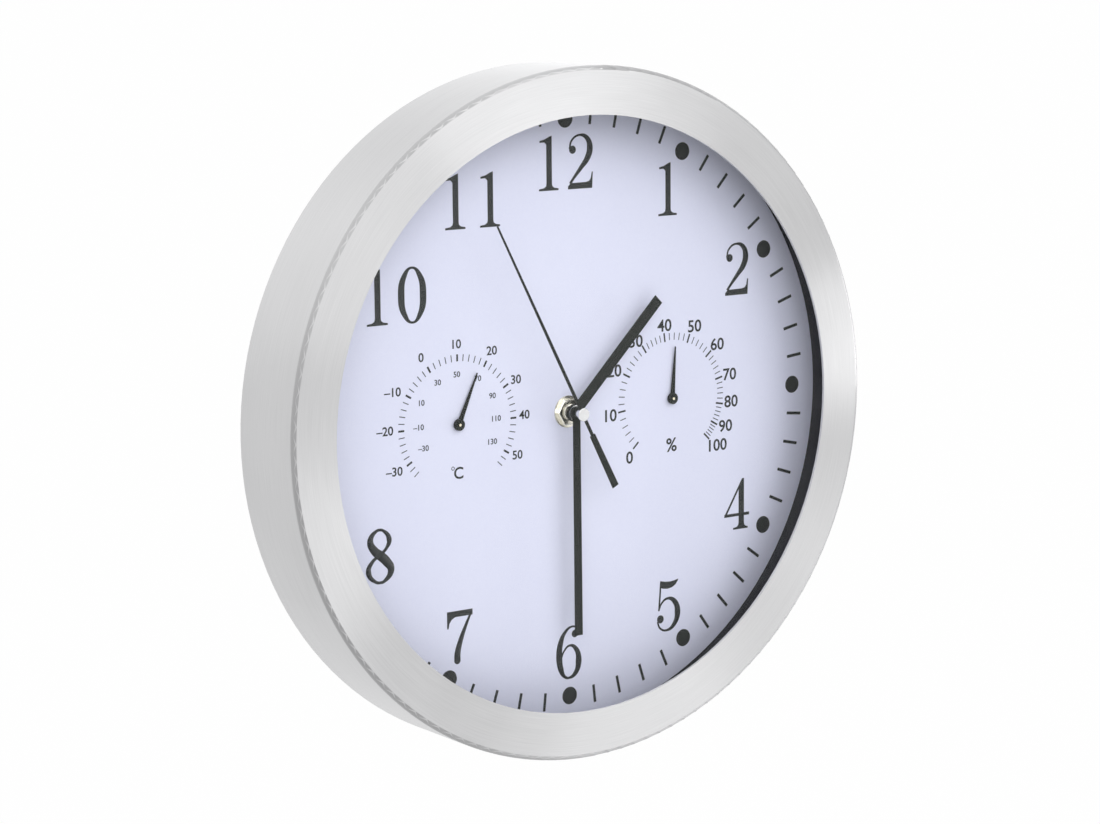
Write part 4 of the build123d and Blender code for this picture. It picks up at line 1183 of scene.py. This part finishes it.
@dataclass
class Gauge:
    """A gauge: its printed scale, its cup and spiral behind the dial, and its pointer."""

    name: str
    centre: Point
    majors: Sequence[float]
    minors: Sequence[float]
    major_size: Point
    minor_size: Point
    ring: float
    labels: Mapping[str, Point]
    label_height: float
    unit: str
    unit_height: float
    unit_ring: float
    small_labels: Mapping[str, Point] = field(default_factory=dict)
    small_height: float = 2.0
    width: float = 1.03
    bold: float = 0.016
    steps: int = 4
    weld: float = 0.0005
    surface: float = 21.2
    film: float = 0.05
    sunk: float = 0.04
    strip: Finish = ROLLED_BIMETAL

    def build(self) -> None:
        """Prints the scale and dresses the gauge's parts."""
        dark = self.ticks(self.majors, self.major_size)
        dark += [self.text(text, self.label_height, at) for text, at in self.labels.items()]
        dark += self.unit_mark()
        PRINTED.settle(joined(f"{self.name}_scale", dark), PRINT_INK)
        pale = self.ticks(self.minors, self.minor_size)
        pale += [self.text(text, self.small_height, at) for text, at in self.small_labels.items()]
        PRINTED.settle(joined(f"{self.name}_fine_scale", pale), PALE_INK)
        name = f"turned_brass_{self.name}"
        brass = replace(TURNED_BRASS, name=name, centre=self.centre, patches=1.0)
        Nodes(BLACK_ABS, (f"{self.name}_housing",)).dress()
        Nodes(self.strip, (f"{self.name}_strip",)).dress()
        Nodes(brass, (f"{self.name}_arbor",)).dress()
        Nodes(HAND_ENAMEL, (f"{self.name}_pointer",)).dress()

    def ticks(self, angles: Sequence[float], size: Point) -> list[Piece]:
        """Prints ticks round the scale.

        Args:
            angles: Degrees clockwise from the top.
            size: Width and length of a tick.

        Returns:
            The ticks.
        """
        width, length = size
        tick = dash(width, length, self.surface - self.sunk, self.film + self.sunk)
        made = []
        for angle in angles:
            turn = Matrix.Rotation(-math.radians(angle), 4, "Z")
            out = Matrix.Translation((0.0, self.ring, 0.0))
            made.append(copied(tick, Matrix.Translation((*self.centre, 0.0)) @ turn @ out))
        bpy.data.objects.remove(tick)
        return made

    def text(self, body: str, height: float, offset: Point) -> Piece:
        """Sets upright figures in ink.

        Args:
            body: The figures.
            height: Their height.
            offset: Their middle, from the gauge's axis.

        Returns:
            The figures as a closed mesh.
        """
        bpy.ops.object.text_add(location=(0.0, 0.0, 0.0))
        text = bpy.context.object
        text.data.body = body
        text.data.size = 1.0
        text.data.align_x = "CENTER"
        text.data.extrude = 0.5
        text.data.offset = self.bold
        text.data.resolution_u = self.steps
        bpy.ops.object.convert(target="MESH")
        text = bpy.context.object
        rows = [corner.co.y for corner in text.data.vertices]
        top, foot = max(rows), min(rows)
        scale = height / (top - foot)
        text.data.transform(Matrix.Translation((0.0, -(top + foot) / 2, 0.0)))
        thick = self.film + self.sunk
        text.data.transform(Matrix.Diagonal((scale * self.width, scale, thick, 1.0)))
        lift = self.surface - self.sunk + thick / 2
        middle = (self.centre[0] + offset[0], self.centre[1] + offset[1], lift)
        text.data.transform(Matrix.Translation(middle))
        return closed(text, self.weld)

    def unit_mark(self) -> list[Piece]:
        """Prints the gauge's unit under its axis.

        Returns:
            The pieces of the mark.
        """
        return [self.text(self.unit, self.unit_height, (0.0, -self.unit_ring))]


@dataclass
class Thermometer(Gauge):
    """The thermometer, whose unit carries a small degree ring."""

    degree_radius: float = 0.85
    degree_bore: float = 0.55
    degree_sides: int = 32
    degree_left: float = 0.55
    degree_up: float = 0.42

    def unit_mark(self) -> list[Piece]:
        """Prints the letter and its degree ring, at shares of the letter's height.

        Returns:
            The pieces of the mark.
        """
        low, high = self.surface - self.sunk, self.surface + self.film
        ring = tube(self.degree_radius, self.degree_bore, low, high, self.degree_sides)
        across = self.centre[0] - self.unit_height * self.degree_left
        up = self.centre[1] - self.unit_ring + self.unit_height * self.degree_up
        ring.data.transform(Matrix.Translation((across, up, 0.0)))
        return [*super().unit_mark(), ring]


@dataclass
class Movement:
    """The quartz movement, its threaded nose with nut and washer, and its train."""

    crest: float = 3.74
    pitch: float = 0.75
    depth: float = 0.4
    bore: float = 2.05
    low: float = 16.52
    high: float = 24.48
    root_share: float = 0.4
    flank_share: float = 0.1
    tooth_cuts: int = 3
    steps: int = 48
    bore_sides: int = 64

    def nose(self) -> Piece:
        """Models the nose: one tooth's edge, wound up into a thread, trimmed and bored.

        Returns:
            The nose.
        """
        bpy.ops.mesh.primitive_plane_add(size=self.pitch, rotation=(FULL_TURN / 4, 0.0, 0.0))
        nose = bpy.context.object
        bpy.ops.object.transform_apply(rotation=True)
        with editing(nose, "VERT") as mesh:
            for corner in mesh.verts:
                corner.select_set(corner.co.x < 0)
            bpy.ops.mesh.delete(type="VERT")
        with editing(nose, "EDGE"):
            bpy.ops.mesh.select_all(action="SELECT")
            bpy.ops.mesh.subdivide(number_cuts=self.tooth_cuts)
        for corner in nose.data.vertices:
            root = abs(corner.co.z) > self.pitch * self.root_share
            flank = abs(corner.co.z) > self.pitch * self.flank_share
            corner.co.x = self.crest - self.depth * (1.0 if root else 0.5 if flank else 0.0)
            corner.co.z += self.low - self.pitch
        turns = math.ceil((self.high - self.low) / self.pitch) + 2
        winding = {"screw_offset": self.pitch, "iterations": turns, "steps": self.steps}
        applied(nose, "SCREW", axis="Z", use_merge_vertices=True, **winding)
        for height, side in ((self.low, -1.0), (self.high, 1.0)):
            with editing(nose):
                bpy.ops.mesh.select_all(action="SELECT")
                bpy.ops.mesh.bisect(
                    plane_co=(0.0, 0.0, height),
                    plane_no=(0.0, 0.0, side),
                    clear_outer=True,
                    use_fill=True,
                )
        closed(nose)
        beyond = (self.high - self.low) / 2
        bore = rod(self.bore, self.low - beyond, self.high + beyond, self.bore_sides)
        return cut(nose, bore, "DIFFERENCE")

    def build(self) -> None:
        """Dresses the movement and cuts the thread on its nose."""
        nose = joined("threaded_nose_turned", [self.nose()])
        Place("clock_case", "turned_brass", ("threaded_nose",)).settle(nose, THIN_NICKEL)
        for part in (
            Nodes(MOVEMENT_PLASTIC, ("movement_housing", "movement_cover", "bearing_plate")),
            Nodes(SHEET_RUBBER, ("movement_gasket",)),
            Nodes(THIN_NICKEL, ("dial_washer", "hex_nut")),
            Nodes(TURNED_BRASS, ("rotor_arbor",)),
            Nodes(SILICON_STEEL, ("stator", "coil_core")),
            Nodes(WHITE_ACETAL, ("coil_bobbin", "hour_wheel", "centre_wheel", "second_wheel")),
            Nodes(WHITE_ACETAL, ("third_wheel", "step_wheel", "minute_wheel", "setting_knob")),
            Nodes(COPPER_WINDING, ("coil_winding",)),
            Nodes(SOLDER_RESIST, ("circuit_board",)),
            Nodes(POTTING_RESIN, ("chip",)),
            Nodes(NICKEL_STEEL, ("crystal", "contact_plus", "contact_minus")),
            Nodes(CELL_FOIL, ("battery",)),
            Nodes(FERRITE, ("rotor_magnet",)),
        ):
            part.dress()


@dataclass
class Hands:
    """The three hands of the time, and the bright sleeve under the minute hand's blade."""

    enamelled: Nodes = Nodes(HAND_ENAMEL, ("hour_hand", "minute_hand", "second_hand"))
    hub: Nodes = Nodes(POLISHED_ALUMINIUM, ("second_hub",))
    sleeve_radius: float = 3.5
    sleeve_bore: float = 3.01
    sleeve_low: float = 27.22
    sleeve_high: float = 27.78
    sides: int = 64

    def sleeve(self) -> Piece:
        """Models the thin ring round the minute hand's hub.

        Returns:
            The ring.
        """
        sizes = (self.sleeve_radius, self.sleeve_bore, self.sleeve_low, self.sleeve_high)
        return joined("minute_hand_sleeve", [tube(*sizes, self.sides)])

    def build(self) -> None:
        """Dresses the hands and the second hand's hub, and puts on the sleeve."""
        self.enamelled.dress()
        self.hub.dress()
        Place("minute_train", "brushed_aluminium").settle(self.sleeve(), POLISHED_ALUMINIUM)


@dataclass(frozen=True)
class Softbox:
    """A square lamp behind white cloth, aimed at the clock."""

    name: str
    place: Triple
    side: float
    power: float

    def hang(self, target: Vector) -> None:
        """Hangs the lamp and turns it to its target.

        Args:
            target: Point that it faces, in metres.
        """
        light = bpy.data.lights.new(self.name, "AREA")
        light.shape = "SQUARE"
        light.size = self.side
        light.energy = self.power
        lamp = bpy.data.objects.new(self.name, light)
        lamp.location = self.place
        lamp.rotation_euler = (target - Vector(self.place)).to_track_quat("-Z", "Y").to_euler()
        bpy.context.scene.collection.objects.link(lamp)


@dataclass
class Studio:
    """Pale floor, white surround, soft lamps and the camera of the photograph."""

    floor_height: float = -1.2
    floor_side: float = 300.0
    floor_glow: float = 0.985
    surround: float = 0.62
    camera_place: Triple = (-0.75076, -1.06606, 0.09234)
    azimuth: float = -35.374
    elevation: float = 9.036
    roll: float = -0.512
    lens: float = 98.245
    sensor: float = 36.0
    lamps: Sequence[Softbox] = (
        Softbox("right_softbox", (1.318, -1.998, 1.525), 2.2, 22.0),
        Softbox("left_softbox", (-1.296, -2.128, 1.372), 2.2, 19.5),
        Softbox("edge_softbox", (2.921, -0.656, -0.312), 0.55, 16.5),
        Softbox("rear_softbox", (1.4, 2.4, -0.35), 2.0, 25.0),
    )

    def build(self) -> None:
        """Sets up the floor, the surround, the lamps and the camera."""
        self.world()
        self.floor()
        for lamp in self.lamps:
            lamp.hang(Vector((0.0, 0.0, -AXIS_DROP * MILLIMETRE)))
        self.camera()
        bpy.context.scene.view_settings.view_transform = "Standard"

    def seen(self, tree: Tree) -> Socket:
        """Tells rays from the camera, or mirrored or refracted to it, from the rest.

        Args:
            tree: Node tree of the material or the world.

        Returns:
            One for such a ray and zero for any other.
        """
        rays = node(tree, "LightPath").node.outputs
        eye = {0: rays["Is Camera Ray"], 1: rays["Is Glossy Ray"]}
        seen = node(tree, "Math", eye, operation="MAXIMUM")
        through = {0: seen, 1: rays["Is Transmission Ray"]}
        return node(tree, "Math", through, operation="MAXIMUM")

    def world(self) -> None:
        """Makes a surround that looks white and lights the clock softly."""
        world = bpy.data.worlds.new("studio_surround")
        world.use_nodes = True
        bpy.context.scene.world = world
        tree = world.node_tree
        tree.nodes.clear()
        levels = {"Value": self.seen(tree), "To Min": self.surround, "To Max": 1.0}
        strength = node(tree, "MapRange", levels)
        shader = node(tree, "Background", {"Color": "#FFFFFF", "Strength": strength})
        node(tree, "OutputWorld", {"Surface": shader})

    def floor(self) -> None:
        """Lays the pale floor, far below the clock."""
        bpy.ops.mesh.primitive_plane_add(
            size=self.floor_side, location=(0.0, 0.0, self.floor_height)
        )
        floor = bpy.context.object
        floor.name = "studio_floor"
        material = bpy.data.materials.new("white_paper_sweep")
        material.use_nodes = True
        tree = material.node_tree
        tree.nodes.clear()
        paper = node(tree, "BsdfDiffuse", {"Color": "#F4F4F4"})
        glow = node(tree, "Emission", {"Color": "#FFFFFF", "Strength": 1.0})
        glowing = {0: self.seen(tree), 1: self.floor_glow}
        share = node(tree, "Math", glowing, operation="MULTIPLY")
        shader = node(tree, "MixShader", {0: share, 1: paper, 2: glow})
        node(tree, "OutputMaterial", {"Surface": shader})
        floor.data.materials.append(material)

    def camera(self) -> None:
        """Puts the camera where the photograph was taken from."""
        turn, lift, roll = (math.radians(a) for a in (self.azimuth, self.elevation, self.roll))
        level = math.cos(lift)
        back = Vector((math.sin(turn) * level, -math.cos(turn) * level, math.sin(lift)))
        right = Vector((math.cos(turn), math.sin(turn), 0.0))
        up = back.cross(right)
        rolled = math.cos(roll) * right + math.sin(roll) * up
        upright = math.cos(roll) * up - math.sin(roll) * right
        data = bpy.data.cameras.new("photo_camera")
        data.lens = self.lens
        data.sensor_width = self.sensor
        camera = bpy.data.objects.new("photo_camera", data)
        place = Matrix((rolled, upright, back)).transposed().to_4x4()
        place.translation = self.camera_place
        camera.matrix_world = place
        bpy.context.scene.collection.objects.link(camera)
        bpy.context.scene.camera = camera


# The thermometer's ticks, its degrees of turn to a degree, and the degrees at its top.
THERMOMETER_TICKS = range(-34, 56, 2)
THERMOMETER_TURN = 3.0
THERMOMETER_TOP = 10.0
THERMOMETER_CENTRE = (-57.0, 0.0)
HYGROMETER_CENTRE = (57.0, 0.3)
# Degrees clockwise from the top at which the hygrometer's tens stand. They aren't even.
HYGROMETER_TENS = (-134.0, -97.0, -63.5, -33.0, -7.8, 20.4, 49.2, 76.1, 100.3, 119.2, 134.0)
# Parts into which fine ticks divide each ten.
FINE_PARTS = 5
# Screws of a gauge's cup, their distance from its axis, and the degrees of the first.
CUP_SCREWS = 3
CUP_SCREW_RING = 18.6
CUP_SCREW_FIRST = 90.0
MINUS = "\u2013"


def build_gauges() -> None:
    """Builds the thermometer and the hygrometer."""
    turns = {at: (at - THERMOMETER_TOP) * THERMOMETER_TURN for at in THERMOMETER_TICKS}
    Thermometer(
        name="thermometer",
        centre=THERMOMETER_CENTRE,
        majors=[turn for value, turn in turns.items() if value % 10 == 0],
        minors=[turn for value, turn in turns.items() if value % 10],
        major_size=(0.85, 3.0),
        minor_size=(0.4, 3.0),
        ring=28.5,
        labels={
            MINUS + "30": (-32.2, -16.8), MINUS + "20": (-36.5, 0.7),
            MINUS + "10": (-32.4, 16.8), "0": (-18.1, 30.2), "10": (-0.6, 34.4),
            "20": (17.7, 30.1), "30": (30.0, 16.6), "40": (34.3, 0.9), "50": (30.4, -16.2),
        },
        label_height=3.9,
        unit="C",
        unit_height=5.2,
        unit_ring=20.8,
        small_labels={
            MINUS + "30": (-17.5, -8.4), MINUS + "10": (-19.8, 0.7), "10": (-18.4, 11.0),
            "30": (-10.0, 18.9), "50": (-0.3, 21.5), "70": (10.4, 18.8), "90": (17.8, 10.7),
            "110": (19.4, 0.7), "130": (17.3, -9.1),
        },
        small_height=2.5,
    ).build()
    marks = HYGROMETER_TENS
    Gauge(
        name="hygrometer",
        centre=HYGROMETER_CENTRE,
        majors=marks,
        minors=[
            start + (end - start) * part / FINE_PARTS
            for start, end in zip(marks, marks[1:])
            for part in range(1, FINE_PARTS)
        ],
        major_size=(0.8, 4.1),
        minor_size=(0.4, 3.2),
        ring=27.7,
        labels={
            "0": (-23.4, -24.3), "10": (-34.2, -4.5), "20": (-31.5, 15.1), "30": (-19.7, 27.2),
            "40": (-3.7, 32.9), "50": (13.1, 31.3), "60": (26.0, 22.1), "70": (33.1, 7.8),
            "80": (34.0, -4.6), "90": (30.8, -15.5), "100": (25.7, -23.8),
        },
        label_height=5.5,
        unit="%",
        unit_height=6.2,
        unit_ring=21.0,
        width=1.05,
        strip=COATED_FOIL,
    ).build()
    cup = Screw(radius=0.9, head_radius=1.7, head_height=1.1, low=15.7, high=20.0)
    ring = (CUP_SCREW_RING, CUP_SCREW_RING, CUP_SCREWS, CUP_SCREW_FIRST)
    places = [*oval(THERMOMETER_CENTRE, *ring), *oval(HYGROMETER_CENTRE, *ring)]
    cup.fill("gauge_cup_screws", places, ("gauge_screws",))


def main() -> None:
    """Builds the clock's looks in order."""
    logging.basicConfig(level=logging.INFO, format="%(name)s %(message)s")
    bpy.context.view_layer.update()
    bpy.ops.object.select_all(action="DESELECT")
    Studio().build()
    Case().build()
    Movement().build()
    DialPrint().build()
    build_gauges()
    Hands().build()


if __name__ == "__main__":
    main()
